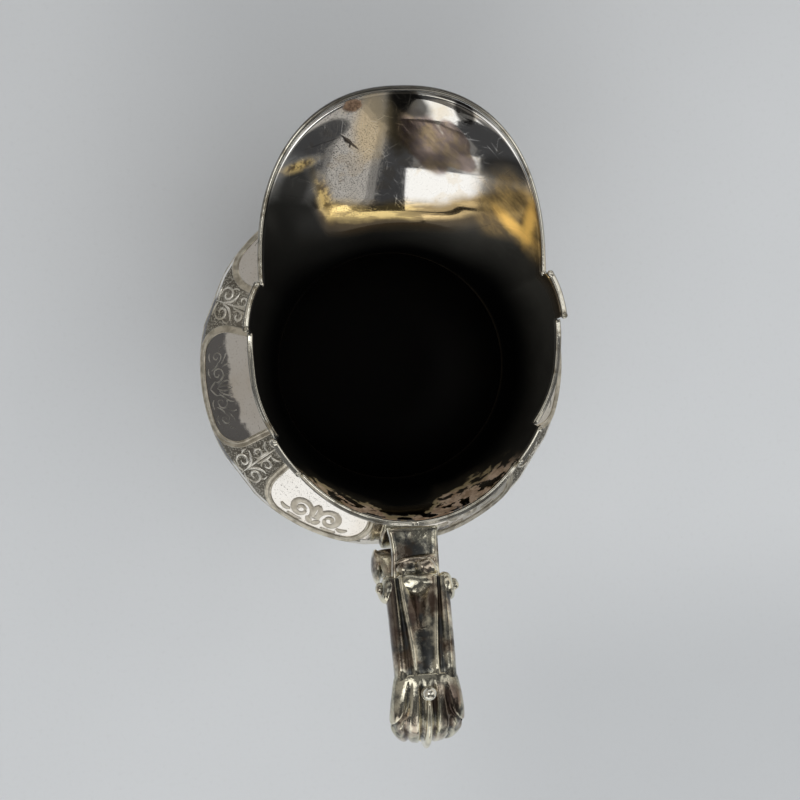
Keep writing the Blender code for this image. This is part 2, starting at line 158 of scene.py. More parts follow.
def bowl_point(angle, z):
    """Outside of the bowl, flattened under each strap."""
    full = (bowl_radius(z) - SEAT_RADIUS) / (BELLY_RADIUS - SEAT_RADIUS)
    if z > BELLY_Z:
        full = (bowl_radius(z) - THROAT_RADIUS) / (BELLY_RADIUS - THROAT_RADIUS)
    angle = (angle + 180.0) % 360.0 - 180.0
    off = min(min(abs(abs(angle) - strap) for strap in STRAPS), STRAP_HALF)
    flat = math.cos(math.radians(STRAP_HALF)) / math.cos(math.radians(off))
    return on_axis(angle, bowl_radius(z) * between(1.0, flat, full), z)


def lip_radius(angle):
    """Distance from the axis to the lip's squared oval edge."""
    turn = math.radians(angle)
    near, far = 0.0, LIP_REACH + LIP_HALF_WIDTH
    for _ in range(40):
        middle = (near + far) / 2
        across = abs(middle * math.sin(turn)) / LIP_HALF_WIDTH
        forward = max(middle * math.cos(turn) - LIP_ROOT, 0.0) / (LIP_REACH - LIP_ROOT)
        if across ** LIP_SQUARENESS + forward ** LIP_SQUARENESS < 1.0:
            near = middle
        else:
            far = middle
    return near


rim_lines = {}


def rim_line(angle):
    """Radius, height and flare of the plain rim line, before its steps."""
    angle = round(abs((angle + 180.0) % 360.0 - 180.0), 5)
    if angle not in rim_lines:
        if angle < FRONT_TAB[0]:
            radius = lip_radius(angle)
            run = (radius * math.cos(math.radians(angle)) - LIP_ROOT) / (LIP_REACH - LIP_ROOT)
            run = max(run, 0.0)
            flare = between(NECK_FLARE, LIP_FLARE, smooth(run))
            rim_lines[angle] = radius, RIM_Z + LIP_RISE * run ** LIP_SWEEP, flare
        else:
            share = smooth((angle - FRONT_TAB[0]) / (90.0 - FRONT_TAB[0]))
            corner = LIP_HALF_WIDTH / math.sin(math.radians(FRONT_TAB[0]))
            rim_lines[angle] = between(corner, RIM_RADIUS, share), RIM_Z, NECK_FLARE
    return rim_lines[angle]


def neck_point(angle, z):
    radius, top, flare = rim_line(angle)
    share = max(z - THROAT_Z, 0.0) / (top - THROAT_Z)
    reach = share ** flare
    here = on_axis(angle, between(THROAT_RADIUS, radius, reach), z)
    if here.y > LIP_ROOT and share < 1.0:
        middle = 1.0 - smooth(abs(here.x) / LIP_HALF_WIDTH)
        edges = smooth(reach / 0.35) * smooth((1.0 - reach) / LIP_EDGE)
        here.z -= LIP_TROUGH * middle * edges * smooth((here.y - LIP_ROOT) / 0.012)
    return here


def rim_runs():
    """The rim's five runs on one side: start, end and height by share."""
    quarter = math.pi / 2
    return (
        (0.0, FRONT_TAB[0], lambda share: rim_line(FRONT_TAB[0] * share)[1]),
        (FRONT_TAB[0], FRONT_TAB[1], lambda share: RIM_Z + FRONT_TAB_RISE),
        (FRONT_TAB[1], REAR_TAB[0], lambda share: RIM_Z + between(
            SIDE_SCALLOP[1], SIDE_SCALLOP[0], math.cos(quarter * share))),
        (REAR_TAB[0], REAR_TAB[1], lambda share: RIM_Z + REAR_TAB_RISE),
        (REAR_TAB[1], 180.0, lambda share: RIM_Z + between(
            REAR_SCALLOP_START, 0.0, math.sin(quarter * share))),
    )


def run_stations(run, steps, trim):
    start, end, height = run
    first = start + (trim if start > 0.0 else 0.0)
    last = end - (trim if end < 180.0 else 0.0)
    angles = [between(first, last, i / steps) for i in range(steps + 1)]
    return [(angle, height((angle - start) / (end - start))) for angle in angles]


# Skin of the whole jug: climb is the way up from the belly along the outside.
climbs = [(0.0, BELLY_Z)]
for i in range(1, 401):
    z = BELLY_Z + SHOULDER_HEIGHT * (i / 400) ** 1.25
    step = math.hypot(bowl_radius(z) - bowl_radius(climbs[-1][1]), z - climbs[-1][1])
    climbs.append((climbs[-1][0] + step, z))
SHOULDER_CLIMB = climbs[-1][0]


def skin_point(angle, climb):
    if climb <= 0.0:
        return bowl_point(angle, BELLY_Z + climb)
    if climb >= SHOULDER_CLIMB:
        return neck_point(angle, THROAT_Z + climb - SHOULDER_CLIMB)
    low, high = 0, len(climbs) - 1
    while high - low > 1:
        middle = (low + high) // 2
        if climbs[middle][0] <= climb:
            low = middle
        else:
            high = middle
    share = (climb - climbs[low][0]) / (climbs[high][0] - climbs[low][0])
    return bowl_point(angle, between(climbs[low][1], climbs[high][1], share))


def skin_frame(angle, climb):
    """Point on the outside and the direction straight out of it."""
    here = skin_point(angle, climb)
    around = skin_point(angle + 0.4, climb) - skin_point(angle - 0.4, climb)
    up = skin_point(angle, climb + 0.0001) - skin_point(angle, climb - 0.0001)
    out = up.cross(around).normalized()
    if out.dot(on_axis(angle, 1.0, 0.0)) < 0.0:
        out = -out
    return here, out


def wrapped_grid(columns, rows, place):
    """Bends a grid to a surface: place gives the point for a column and a row."""
    bm = bmesh.new()
    bmesh.ops.create_grid(bm, x_segments=columns, y_segments=rows, size=0.5)
    for vert in bm.verts:
        column = round((vert.co.x + 0.5) * columns)
        row = round((vert.co.y + 0.5) * rows)
        vert.co = place(column, row)
    bmesh.ops.remove_doubles(bm, verts=bm.verts, dist=0.000002)
    return bm


def close_ends(bm):
    open_edges = [edge for edge in bm.edges if edge.is_boundary]
    bmesh.ops.holes_fill(bm, edges=open_edges, sides=0)


def join(parts):
    """One bmesh made of several."""
    whole = bmesh.new()
    for bm in parts:
        mesh = bpy.data.meshes.new("joined")
        bm.to_mesh(mesh)
        bm.free()
        whole.from_mesh(mesh)
        bpy.data.meshes.remove(mesh)
    return whole


def finished(name, bm, finishes, nodes, crease=None, shell=False):
    """Turns a bmesh on the jug's axis into a finished piece in the frame."""
    bmesh.ops.remove_doubles(bm, verts=bm.verts, dist=0.000001)
    bmesh.ops.recalc_face_normals(bm, faces=bm.faces)
    if shell:
        rear = min(bm.faces, key=lambda face: face.calc_center_median().y)
        if rear.normal.y > 0.0:
            bmesh.ops.reverse_faces(bm, faces=bm.faces)
    bmesh.ops.translate(bm, vec=(0.0, AXIS_Y, 0.0), verts=bm.verts)
    mesh = bpy.data.meshes.new(name)
    bm.to_mesh(mesh)
    bm.free()
    mesh.shade_smooth()
    if crease:
        mesh.set_sharp_from_angle(angle=math.radians(crease))
    for finish in finishes:
        mesh.materials.append(finish)
    piece = bpy.data.objects.new(name, mesh)
    bpy.context.scene.collection.objects.link(piece)
    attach(piece, "root")
    if nodes:
        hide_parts(*nodes)
    return piece


HOLLOW_REACH = 0.10
HOLLOW_PASSES = 3


def mark_hollows(piece):
    """Stores how hollow the casting is at each point, from -1 on ridges to 1 in grooves."""
    bm = bmesh.new()
    bm.from_mesh(piece.data)
    bm.normal_update()
    values = []
    for vert in bm.verts:
        rise = [(edge.other_vert(vert).co - vert.co).dot(vert.normal) / max(edge.calc_length(), 1e-7)
                for edge in vert.link_edges]
        values.append(sum(rise) / max(len(rise), 1))
    for _ in range(HOLLOW_PASSES):
        spread = []
        for vert in bm.verts:
            near = [values[edge.other_vert(vert).index] for edge in vert.link_edges]
            spread.append(0.5 * values[vert.index] + 0.5 * sum(near) / max(len(near), 1))
        values = spread
    bm.free()
    marks = piece.data.attributes.new("hollow", "FLOAT", "POINT")
    for mark, value in zip(marks.data, values):
        mark.value = min(max(value / HOLLOW_REACH, -1.0), 1.0)


def mark_flanks(piece):
    """Stores how far the skin of a rim wire faces away from the mouth, where its finish paints a dark
    reflection.
    """
    marks = piece.data.attributes.new("flank", "FLOAT", "POINT")
    for mark, vert in zip(marks.data, piece.data.vertices):
        outwards = Vector((vert.co.x, vert.co.y - AXIS_Y, 0.0)).normalized()
        mark.value = smooth(vert.normal.dot(outwards) * 1.6 - 0.3)


class Tone:
    """A socket in a finish; sums of tones add the nodes that work them out."""

    def __init__(self, tree, socket=None):
        self.tree = tree
        self.socket = socket

    def plug(self, node, values):
        """Sets sockets of a node to plain values or to tones."""
        for name, value in values.items():
            if isinstance(value, Tone):
                self.tree.links.new(value.socket, node.inputs[name])
            else:
                node.inputs[name].default_value = value

    def node(self, kind, settings=None, inputs=None, output=0):
        """Adds a node: its type, its settings, and the values or tones of its sockets."""
        added = self.tree.nodes.new("ShaderNode" + kind)
        for name, value in (settings or {}).items():
            setattr(added, name, value)
        self.plug(added, inputs or {})
        return Tone(self.tree, added.outputs[output])

    def sum(self, operation, first, second=0.0):
        return self.node("Math", {"operation": operation}, {0: first, 1: second})

    def __add__(self, other):
        return self.sum("ADD", self, other)

    __radd__ = __add__

    def __sub__(self, other):
        return self.sum("SUBTRACT", self, other)

    def __rsub__(self, other):
        return self.sum("SUBTRACT", other, self)

    def __mul__(self, other):
        return self.sum("MULTIPLY", self, other)

    def __abs__(self):
        return self.sum("ABSOLUTE", self)

    def ramp(self, low, high):
        """0 below low and 1 above high; low may be the larger."""
        return self.node("MapRange", {"interpolation_type": "SMOOTHSTEP"},
                         {"Value": self, "From Min": low, "From Max": high})

    def blend(self, first, second):
        """Colour from first to second as this tone goes from 0 to 1."""
        return self.node("Mix", {"data_type": "RGBA"}, {0: self, 6: first, 7: second}, 2)


def color(red, green, blue):
    return (red, green, blue, 1.0)


def noise_at(place, scale, detail=3.0, roughness=0.55):
    return place.node("TexNoise", None, {
        "Vector": place, "Scale": scale, "Detail": detail, "Roughness": roughness})


def new_finish(name):
    """Empty finish: the material, and the place on the piece as a tone."""
    material = bpy.data.materials.new(name)
    material.use_nodes = True
    return material, Tone(material.node_tree).node("TexCoord", output=3)


def dress(material, base, metallic, roughness, relief, specular=0.5):
    """Sets a finish; relief is the strength, depth and height of its fine relief."""
    strength, depth, height = relief
    base.plug(material.node_tree.nodes["Principled BSDF"], {
        "Base Color": base, "Metallic": metallic, "Roughness": roughness, "Specular IOR Level": specular,
        "Normal": base.node("Bump", None, {"Strength": strength, "Distance": depth, "Height": height})})
    return material


def place_parts(place):
    return [place.node("SeparateXYZ", None, {"Vector": place}, i) for i in range(3)]


def turned_place(place, turn, size, centre=(0.0, 0.0)):
    """Place counted in sizes of a box that is turned, in degrees, around its centre."""
    return place.node("Mapping", {"vector_type": "TEXTURE"}, {
        "Vector": place, "Location": (centre[0], centre[1], 0.0),
        "Rotation": (0.0, 0.0, math.radians(turn)), "Scale": size})


def stretched_place(place, scale):
    return place.node("Mapping", None, {"Vector": place, "Scale": scale})


def fine_marks(place):
    """Tiny pits and hair scratches of old polish, each from 0 to 1."""
    pits = noise_at(place, 2600.0, 2.0).ramp(0.60, 0.74)
    scratches = 0.0
    for turn, size in ((0.5, 0.0006), (1.4, 0.0007), (2.3, 0.0006), (2.9, 0.0008)):
        drawn = turned_place(place, math.degrees(turn), (size * 9.0, size * 0.6, size * 4.0))
        scratches = noise_at(drawn, 1.0, 1.0).ramp(0.70, 0.75) + scratches
    return pits, scratches


def polished_plate():
    """Outside of the bowl and neck: bright plate, darker blue-grey low on the sides, most on the left
    panel.
    """
    material, place = new_finish("polished_plate")
    across, along, height = place_parts(place)
    pits, scratches = fine_marks(place)
    clouds = noise_at(place, 75.0, 4.0).ramp(0.40, 0.72)
    ragged = noise_at(place, 260.0, 4.0, 0.65)
    side = abs(along - (AXIS_Y - 0.002)).ramp(0.0215, 0.0195)
    edge = height + (along - AXIS_Y) * 0.05 + (ragged - 0.5) * 0.0030
    # Darker blue-grey low on the belly's sides, strongest on the left.
    low_side_darkening = side * edge.ramp(BELLY_Z + 0.0056, BELLY_Z + 0.0049) * height.ramp(
        BELLY_Z - 0.020, BELLY_Z - 0.012) * (0.15 + across.ramp(0.010, -0.010) * 0.85)
    unpolished = across.ramp(0.010, 0.022) * along.ramp(AXIS_Y + 0.004, AXIS_Y - 0.008)
    base = clouds.blend(color(0.88, 0.86, 0.82), color(0.80, 0.75, 0.67))
    base = (unpolished * 0.5).blend(base, color(0.70, 0.66, 0.56))
    base = (low_side_darkening * (0.86 + clouds * 0.10)).blend(base, color(0.125, 0.125, 0.132))
    base = (pits * 0.55).blend(base, color(0.30, 0.26, 0.22))
    roughness = (0.085 + clouds * 0.06 + pits * 0.12 + scratches * 0.05 + low_side_darkening * 0.10
                 + unpolished * 0.22)
    return dress(material, base, 1.0 - unpolished * 0.15, roughness,
                 (0.12, 0.00005, 1.0 - pits - scratches * 0.4))


# Ovals on the lip and handle in millimetres: their centre across and forward of the axis, their
# turn in degrees, their half length and half width
AMBER_STAIN = (-5.8, 51.2, 80.0, 7.5, 3.6)
OLIVE_STAIN = (0.4, 53.0, 84.0, 7.5, 3.2)
BROWN_STAINS = (
    (5.0, 47.8, -50.0, 7.6, 3.9), (11.8, 44.7, -38.0, 5.8, 2.3), (12.0, 48.0, -46.0, 4.4, 1.6))
# Near black ovals beside the bright patch at the lip's tip: painted dark reflection.
PAINTED_DARK_REFLECTIONS = ((1.9, 55.0, -27.0, 4.8, 2.3), (13.6, 52.8, -55.0, 2.8, 1.6))
# Ovals where the lip is painted dim, each with the share of its brightness kept: painted dark reflection
# on the left, on the right and below the gold.
PAINTED_DIM_REFLECTIONS = (
    (0.15, (-22.4, 38.8, 62.0, 5.2, 3.2)), (0.27, (22.6, 41.0, -17.0, 6.6, 2.3)),
    (0.12, (-17.6, 32.5, 105.0, 5.0, 1.6)))
WORN_PATCH = (-10.0, 45.0, 90.0, 14.0, 7.0)
SIDE_STAIN = (24.6, 32.0, -56.0, 9.8, 5.4)
GOLD_STREAKS = ((24.4, 29.8, -46.0, 4.8, 0.9), (27.6, 29.8, 87.0, 3.8, 1.0))
GOLD_SPOTS = ((-16.1, 37.2, -73.0, 4.0, 1.6), (-21.0, 43.1, 20.0, 3.8, 1.0))
BARE_SPOT = (-9.8, 54.6, 12.0, 2.1, 1.2)
NICK = ((-10.4, 47.6, -39.0, 2.2, 0.22), (-10.9, 47.9, -30.0, 0.8, 0.42), (-10.4, 47.1, 74.0, 0.6, 0.18))
NICK_TAIL = (-15.6, 47.6, 18.0, 4.0, 0.12)
# Dark brown ovals painted as shade on the knuckle's right side and on the bar, the long one over the left
# rail.
KNUCKLE_SHADE_MARKS = ((4.6, -70.5, 82.0, 4.8, 2.0), (1.2, -69.0, 95.0, 3.0, 0.8))
BAR_SHADE_MARKS = ((-1.4, -51.0, 84.0, 3.6, 1.3), (2.9, -50.0, 100.0, 1.9, 1.0), (-6.0, -51.5, 88.0, 7.5, 1.1))


def oval_mark(place, mark, wander, soft):
    """1 inside a ragged oval, seen from above, 0 outside it."""
    across, forward, turn, length, width = mark
    turned = turned_place(
        place, turn, (length * MILLIMETRE, width * MILLIMETRE, 1000.0),
        (across * MILLIMETRE, AXIS_Y + forward * MILLIMETRE))
    far = place.node("VectorMath", {"operation": "LENGTH"}, {0: turned}, 1)
    return (far + (wander - 0.5) * 0.6).ramp(1.0 + soft, 1.0 - soft)


def oval_marks(place, marks, wander, soft):
    """Several ragged ovals, summed up."""
    total = 0.0
    for mark in marks:
        total = oval_mark(place, mark, wander, soft) + total
    return total


def lip_plate():
    """Inside of the neck and lip: polished at the lip, gold, then black further down as painted shade, a
    little lighter towards the top and the right as painted light.
    """
    material, place = new_finish("lip_plate")
    across, along, height = place_parts(place)
    wander = noise_at(place, 120.0, 4.0)
    ragged = noise_at(place, 420.0, 4.0, 0.65)
    crumbs = noise_at(place, 1500.0, 4.0, 0.7)
    pits, scratches = fine_marks(place)
    left = across.ramp(-0.0150, -0.0205)
    level = height - across * across * 8.0 - left * 0.0050 + (wander - 0.5) * 0.0020
    # Painted shade: the inside of the neck turns black below a level that climbs towards the sides, most
    # on the left.
    dark = level.ramp(0.0958, 0.0906)
    streaks = noise_at(stretched_place(place, (110.0, 620.0, 620.0)), 1.0).ramp(0.40, 0.60)
    gold = level.ramp(0.0898, 0.0910) * level.ramp(0.0972, 0.0957) * (1.0 - left)
    base = noise_at(place, 46.0).ramp(0.42, 0.64).blend(
        color(0.86, 0.85, 0.82), color(0.80, 0.74, 0.62))
    veil = noise_at(place, 210.0).ramp(0.54, 0.64)
    base = (veil * 0.22).blend(base, color(0.66, 0.50, 0.26))
    amber = oval_mark(place, AMBER_STAIN, wander, 0.45)
    base = (amber * 0.7).blend(base, color(0.84, 0.64, 0.34))
    olive = oval_mark(place, OLIVE_STAIN, ragged, 0.35)
    base = (olive * 0.85).blend(base, ragged.blend(color(0.16, 0.12, 0.05), color(0.60, 0.46, 0.22)))
    grain = turned_place(place, -42.0, (0.0050, 0.0012, 0.0030))
    drawn = noise_at(grain, 1.0, 4.0, 0.6).ramp(0.30, 0.72)
    brown = oval_marks(place, BROWN_STAINS, wander, 0.22).ramp(0.0, 0.9)
    cloudy = noise_at(place, 190.0, 4.0, 0.6).ramp(0.42, 0.60)
    base = (brown * 0.88).blend(base, cloudy.blend(
        drawn.blend(color(0.22, 0.165, 0.165), color(0.47, 0.36, 0.31)),
        drawn.blend(color(0.28, 0.20, 0.12), color(0.56, 0.43, 0.26))))
    # Painted dark reflection: near black ovals beside the bright patch.
    for mark in PAINTED_DARK_REFLECTIONS:
        shade = oval_mark(place, mark, wander, 0.25)
        base = (shade * 0.94).blend(base, color(0.066, 0.063, 0.058))
    # Painted dark reflection: the lip dimmed inside each oval.
    for dim, mark in PAINTED_DIM_REFLECTIONS:
        haze = oval_mark(place, mark, wander, 0.4)
        base = haze.blend(base, color(dim, dim * 0.97, dim * 0.90))
    streaky = 0.42 + streaks * (0.36 + noise_at(place, 85.0, 2.0).ramp(0.40, 0.60) * 0.30)
    bright_gold = across.ramp(-0.001, 0.007).blend(color(1.0, 0.76, 0.33), color(0.62, 0.46, 0.23))
    gilt = level.ramp(0.0936, 0.0947) * streaky
    base = gold.blend(base, gilt.blend(color(0.13, 0.095, 0.055), bright_gold))
    worn_light = oval_mark(place, WORN_PATCH, wander, 0.2)
    speckle = noise_at(place, 4800.0).ramp(0.56, 0.66) * (0.10 + worn_light * 0.90)
    base = (speckle * 0.60 + pits * 0.2).blend(base, color(0.14, 0.12, 0.09))
    # Painted light on the shaded walls: a little lighter towards the top and towards the right.
    painted_wall_light = height.ramp(0.0780, 0.0985) * (0.25 + across.ramp(-0.008, 0.022) * 0.75)
    base = dark.blend(base, (painted_wall_light * (0.55 + wander * 0.9)).blend(
        color(0.002, 0.002, 0.002), color(0.055, 0.053, 0.046)))
    grain = turned_place(place, -50.0, (0.0070, 0.0022, 0.0040))
    rich = noise_at(grain, 1.0, 4.0, 0.6).ramp(0.34, 0.68)
    stained = oval_mark(place, SIDE_STAIN, wander, 0.5) * level.ramp(0.0890, 0.0925)
    base = (stained * 0.9).blend(base, rich.blend(color(0.17, 0.115, 0.05), color(0.56, 0.37, 0.13)))
    for mark in GOLD_STREAKS:
        streak = oval_mark(place, mark, ragged, 0.75)
        base = (streak * 0.9).blend(base, color(1.0, 0.60, 0.15))
    for mark in GOLD_SPOTS:
        spot = oval_mark(place, mark, ragged, 0.7)
        base = (spot * 0.9).blend(base, ragged.ramp(0.42, 0.58).blend(
            color(0.15, 0.095, 0.03), color(1.0, 0.72, 0.27)))
        stained = spot * 0.8 + stained
    right_wear = across.ramp(0.0035, 0.0085)
    middle = abs(across + 0.001).ramp(0.0065, 0.0035)
    low_edge = height + right_wear * 0.0052 - middle * 0.0030 + (
        noise_at(place, 95.0, 4.0, 0.6) - 0.5) * 0.018
    rear = along.ramp(AXIS_Y - 0.0190, AXIS_Y - 0.0250)
    halo = rear * low_edge.ramp(RIM_Z - 0.0130, RIM_Z - 0.0060)
    base = (halo * 0.5).blend(base, color(0.105, 0.090, 0.064))
    patches = noise_at(stretched_place(place, (1.0, 1.0, 1.5)), 270.0).ramp(0.465, 0.505)
    bare = rear * low_edge.ramp(RIM_Z - 0.0062, RIM_Z - 0.0052) * patches
    pink = ragged.ramp(0.36, 0.62).blend(color(0.95, 0.74, 0.56), color(0.54, 0.37, 0.24))
    base = bare.blend(base, low_edge.ramp(RIM_Z - 0.0050, RIM_Z - 0.0022).blend(
        color(0.52, 0.42, 0.24), pink))
    ring = height.ramp(THROAT_Z + 0.0025, THROAT_Z + 0.0008)
    base = (ring * 0.5).blend(base, color(0.115, 0.088, 0.055))
    marks = oval_mark(place, BARE_SPOT, crumbs, 0.2)
    base = (marks * 0.97).blend(base, crumbs.ramp(0.35, 0.65).blend(
        color(0.44, 0.29, 0.19), color(0.17, 0.10, 0.06)))
    nick = oval_marks(place, NICK, crumbs, 0.5)
    tail = oval_mark(place, NICK_TAIL, crumbs, 0.5)
    base = (nick.ramp(0.1, 0.8) * 0.85 + tail * 0.3).blend(base, color(0.060, 0.040, 0.025))
    metallic = (1.0 - bare * 0.85 - marks * 0.1 - dark * 0.6 - stained * 0.40 - amber * 0.20
                - scratches * 0.12)
    roughness = (0.040 + speckle * 0.10 + scratches * 0.03 + dark.ramp(0.55, 1.0) * 0.26
                 + brown * 0.06 + bare * 0.25 + marks * 0.3 + stained * 0.12)
    return dress(material, base, metallic, roughness,
                 (0.10, 0.00005, 1.0 - speckle * 0.8 - scratches * 0.12 - nick), 0.25)


def dark_inside():
    """Inside of the bowl: nearly black, painted as the shade deep inside it."""
    material, place = new_finish("dark_inside")
    wander = noise_at(place, 140.0, 4.0)
    base = wander.blend(color(0.002, 0.002, 0.002), color(0.007, 0.006, 0.005))
    return dress(material, base, 0.6, 0.42 + wander * 0.2, (0.2, 0.0001, wander), 0.1)


def rubbed_wire():
    """Rim wire and mouldings: rubbed bright, dull in small patches, with painted dark reflection along
    the lip's front and on the rim wire's outer side.
    """
    material, place = new_finish("rubbed_wire")
    dull = noise_at(place, 260.0).ramp(0.50, 0.70)
    pits, _ = fine_marks(place)
    base = dull.blend(color(0.88, 0.85, 0.74), color(0.30, 0.26, 0.19))
    # Painted dark reflection along the lip's front.
    front = place_parts(place)[1].ramp(AXIS_Y + 0.0470, AXIS_Y + 0.0545)
    base = (front * 0.80).blend(base, color(0.10, 0.092, 0.080))
    base = (pits * 0.5).blend(base, color(0.18, 0.15, 0.12))
    # Painted dark reflection on the side of the wire that faces away from the mouth.
    flank = place.node("Attribute", {"attribute_name": "flank"}, output=2)
    base = (flank * 0.88).blend(base, color(0.050, 0.045, 0.038))
    return dress(material, base, 0.93, 0.09 + dull * 0.14, (0.2, 0.00005, 1.0 - pits - dull * 0.3))


def matted_ground():
    """Punched matt ground of the straps, dark between its dots."""
    material, place = new_finish("matted_ground")
    dents = place.node("TexVoronoi", None, {"Vector": place, "Scale": 2300.0}).ramp(0.15, 0.55)
    wear = noise_at(place, 170.0).ramp(0.42, 0.68)
    base = dents.blend(color(0.60, 0.57, 0.49), color(0.19, 0.175, 0.145))
    base = (wear * 0.4).blend(base, color(0.50, 0.47, 0.41))
    return dress(material, base, 1.0, 0.42 - wear * 0.12, (0.5, 0.00015, 1.0 - dents))


def chased_silver():
    """Raised scrollwork: pale and frosted, grey where it has not been rubbed."""
    material, place = new_finish("chased_silver")
    grain = noise_at(place, 1900.0, 2.0)
    dull = noise_at(place, 210.0).ramp(0.42, 0.68)
    base = dull.blend(color(0.90, 0.87, 0.79), color(0.56, 0.52, 0.43))
    base = (grain.ramp(0.55, 0.75) * 0.4).blend(base, color(0.28, 0.25, 0.20))
    return dress(material, base, 0.84, 0.26 + dull * 0.12, (0.3, 0.00006, grain))


def line_finish(name, pale, grey, roughness):
    """Worn borders, and cut and frosted ornament on the panels, mottled from pale to grey."""
    material, place = new_finish(name)
    grain = noise_at(place, 2100.0, 2.0)
    base = noise_at(place, 420.0).ramp(0.38, 0.62).blend(pale, grey)
    return dress(material, base, 1.0, roughness + grain * 0.15, (0.4, 0.00006, grain))


def tarnished_casting(name, depth, shade_marks=()):
    """Cast handle: dark in its hollows, brassy and bright on its rubbed ridges, with painted shade in any
    given ovals.
    """
    material, place = new_finish(name)
    hollow = place.node("Attribute", {"attribute_name": "hollow"}, output=2)
    blotch = noise_at(place, 270.0, 4.0, 0.6)
    fine = noise_at(place, 1500.0)
    soil = (hollow * 0.5 + (blotch - 0.5) * 2.8 + (fine - 0.5) * 0.8 + depth).ramp(-0.45, 0.55)
    rub = (hollow * -0.7 - (blotch - 0.5) * 3.0).ramp(0.35, 0.95)
    warm = noise_at(place, 190.0).ramp(0.46, 0.62)
    base = warm.blend(color(0.62, 0.59, 0.47), color(0.58, 0.50, 0.40))
    base = soil.blend(base, warm.blend(color(0.075, 0.078, 0.077), color(0.092, 0.068, 0.050)))
    base = (rub * 0.9).blend(base, color(0.90, 0.85, 0.68))
    # Painted shade: dark brown ovals where given.
    for mark in shade_marks:
        shade_spot = oval_mark(place, mark, blotch, 0.3)
        base = (shade_spot * 0.85).blend(base, color(0.096, 0.066, 0.053))
    return dress(material, base, 0.95, 0.115 + soil * 0.18 - rub * 0.05,
                 (0.4, 0.0003, blotch * 0.75 + fine * 0.25))


def bowl_columns(panel_steps, strap_steps):
    """Angles around the bowl, with the strap edges on columns."""
    angles = []
    centres = [-strap for strap in STRAPS[:0:-1]] + list(STRAPS)
    for here, there in zip(centres, centres[1:]):
        edges = (here - STRAP_HALF, here + STRAP_HALF, there - STRAP_HALF)
        angles += [between(edges[0], edges[1], i / strap_steps) for i in range(strap_steps)]
        angles += [between(edges[1], edges[2], i / panel_steps) for i in range(panel_steps)]
    return angles


PANELS = (
    (STRAP_HALF, FRONT_TAB[0]), (FRONT_TAB[1], REAR_TAB[0]), (REAR_TAB[1], 180.0 - STRAP_HALF))
PANEL_FOOT = 0.0012
PANEL_CORNER = 0.0075
RIM_CLIMB = SHOULDER_CLIMB + NECK_HEIGHT
BORDER_HALF_WIDTH = 0.00095
BORDER_HEIGHT = 0.00026
LEAF_FOOT = 0.0008
LEAF_HEIGHT = 0.00022
VINE_FOOT = 0.0022
VINE_STEP = 0.0066
VINE_HEIGHT = 0.00020
CUT_HEIGHT = 0.00002


def panel_line(start, end, start_top, end_top):
    """Outline of a panel from the rim down one side, along its foot and up again."""
    turn_angle = math.degrees(PANEL_CORNER / BELLY_RADIUS)
    line = []
    for i in range(26):
        line.append((start, between(start_top, PANEL_FOOT + PANEL_CORNER, i / 25)))
    for i in range(1, 13):
        turn = math.pi / 2 * i / 12
        line.append((start + turn_angle * (1.0 - math.cos(turn)),
                     PANEL_FOOT + PANEL_CORNER * (1.0 - math.sin(turn))))
    for i in range(1, 24):
        line.append((between(start + turn_angle, end - turn_angle, i / 24), PANEL_FOOT))
    for i in range(13):
        turn = math.pi / 2 * i / 12
        line.append((end - turn_angle * (1.0 - math.sin(turn)),
                     PANEL_FOOT + PANEL_CORNER * (1.0 - math.cos(turn))))
    for i in range(1, 26):
        line.append((end, between(PANEL_FOOT + PANEL_CORNER, end_top, i / 25)))
    return line


def laid_band(line, widths, height, section, closed=False, skin=skin_frame):
    """Raised band that lies on a skin, the jug's own if no other is given, along a line on it."""
    frames = [skin(*spot) for spot in line]
    count = len(frames)

    def place(column, row):
        here, out = frames[row % count]
        after = frames[(row + 1) % count if closed else min(row + 1, count - 1)][0]
        before = frames[(row - 1) % count if closed else max(row - 1, 0)][0]
        side = (after - before).cross(out).normalized()
        across, lift = section[column % len(section)]
        return here + side * (across * widths[row % count]) + out * (lift * height)

    bm = wrapped_grid(len(section), count if closed else count - 1, place)
    if not closed:
        close_ends(bm)
    return bm


DOUBLE_LINE = (
    (-1.0, -0.3), (-0.92, 0.5), (-0.62, 1.0), (-0.34, 0.55), (0.0, 0.32),
    (0.34, 0.55), (0.62, 1.0), (0.92, 0.5), (1.0, -0.3))
CUT_LEAF = ((-1.0, -0.3), (-0.62, 0.62), (0.0, 1.0), (0.62, 0.62), (1.0, -0.3))
FROSTED_LINE = ((-1.0, -0.3), (-0.94, 0.85), (0.0, 1.0), (0.94, 0.85), (1.0, -0.3))


def panel_borders(finish):
    """Double line around each panel, and a plain line around the belly and the throat."""
    bands = []
    drops = ((NECK_HEIGHT - 0.0003, 0.0012), (0.0016, 0.0079), (0.0055, 0.0080))
    for (start, end), (start_drop, end_drop) in zip(PANELS, drops):
        line = panel_line(start, end, RIM_CLIMB - start_drop, RIM_CLIMB - end_drop)
        for side in (-1, 1):
            turned = [(side * angle, climb) for angle, climb in line]
            bands.append(laid_band(turned, [BORDER_HALF_WIDTH] * len(line), BORDER_HEIGHT, DOUBLE_LINE))
    for climb, half_width, height in ((-0.0011, 0.0007, 0.00028), (SHOULDER_CLIMB, 0.0008, 0.00055)):
        around = [(i * 3.0, climb) for i in range(120)]
        bands.append(laid_band(around, [half_width] * 120, height, CUT_LEAF, closed=True))
    finished("panel_borders", join(bands), [finish], ())


def curl(centre, start_radius, end_radius, start, turns, steps=16):
    """Spiral stroke in strap or panel lengths: across and up from its centre."""
    points = []
    for i in range(steps + 1):
        share = i / steps
        turn = math.radians(start + 360.0 * turns * share)
        radius = between(start_radius, end_radius, share)
        points.append((centre[0] + radius * math.cos(turn), centre[1] + radius * math.sin(turn)))
    return points


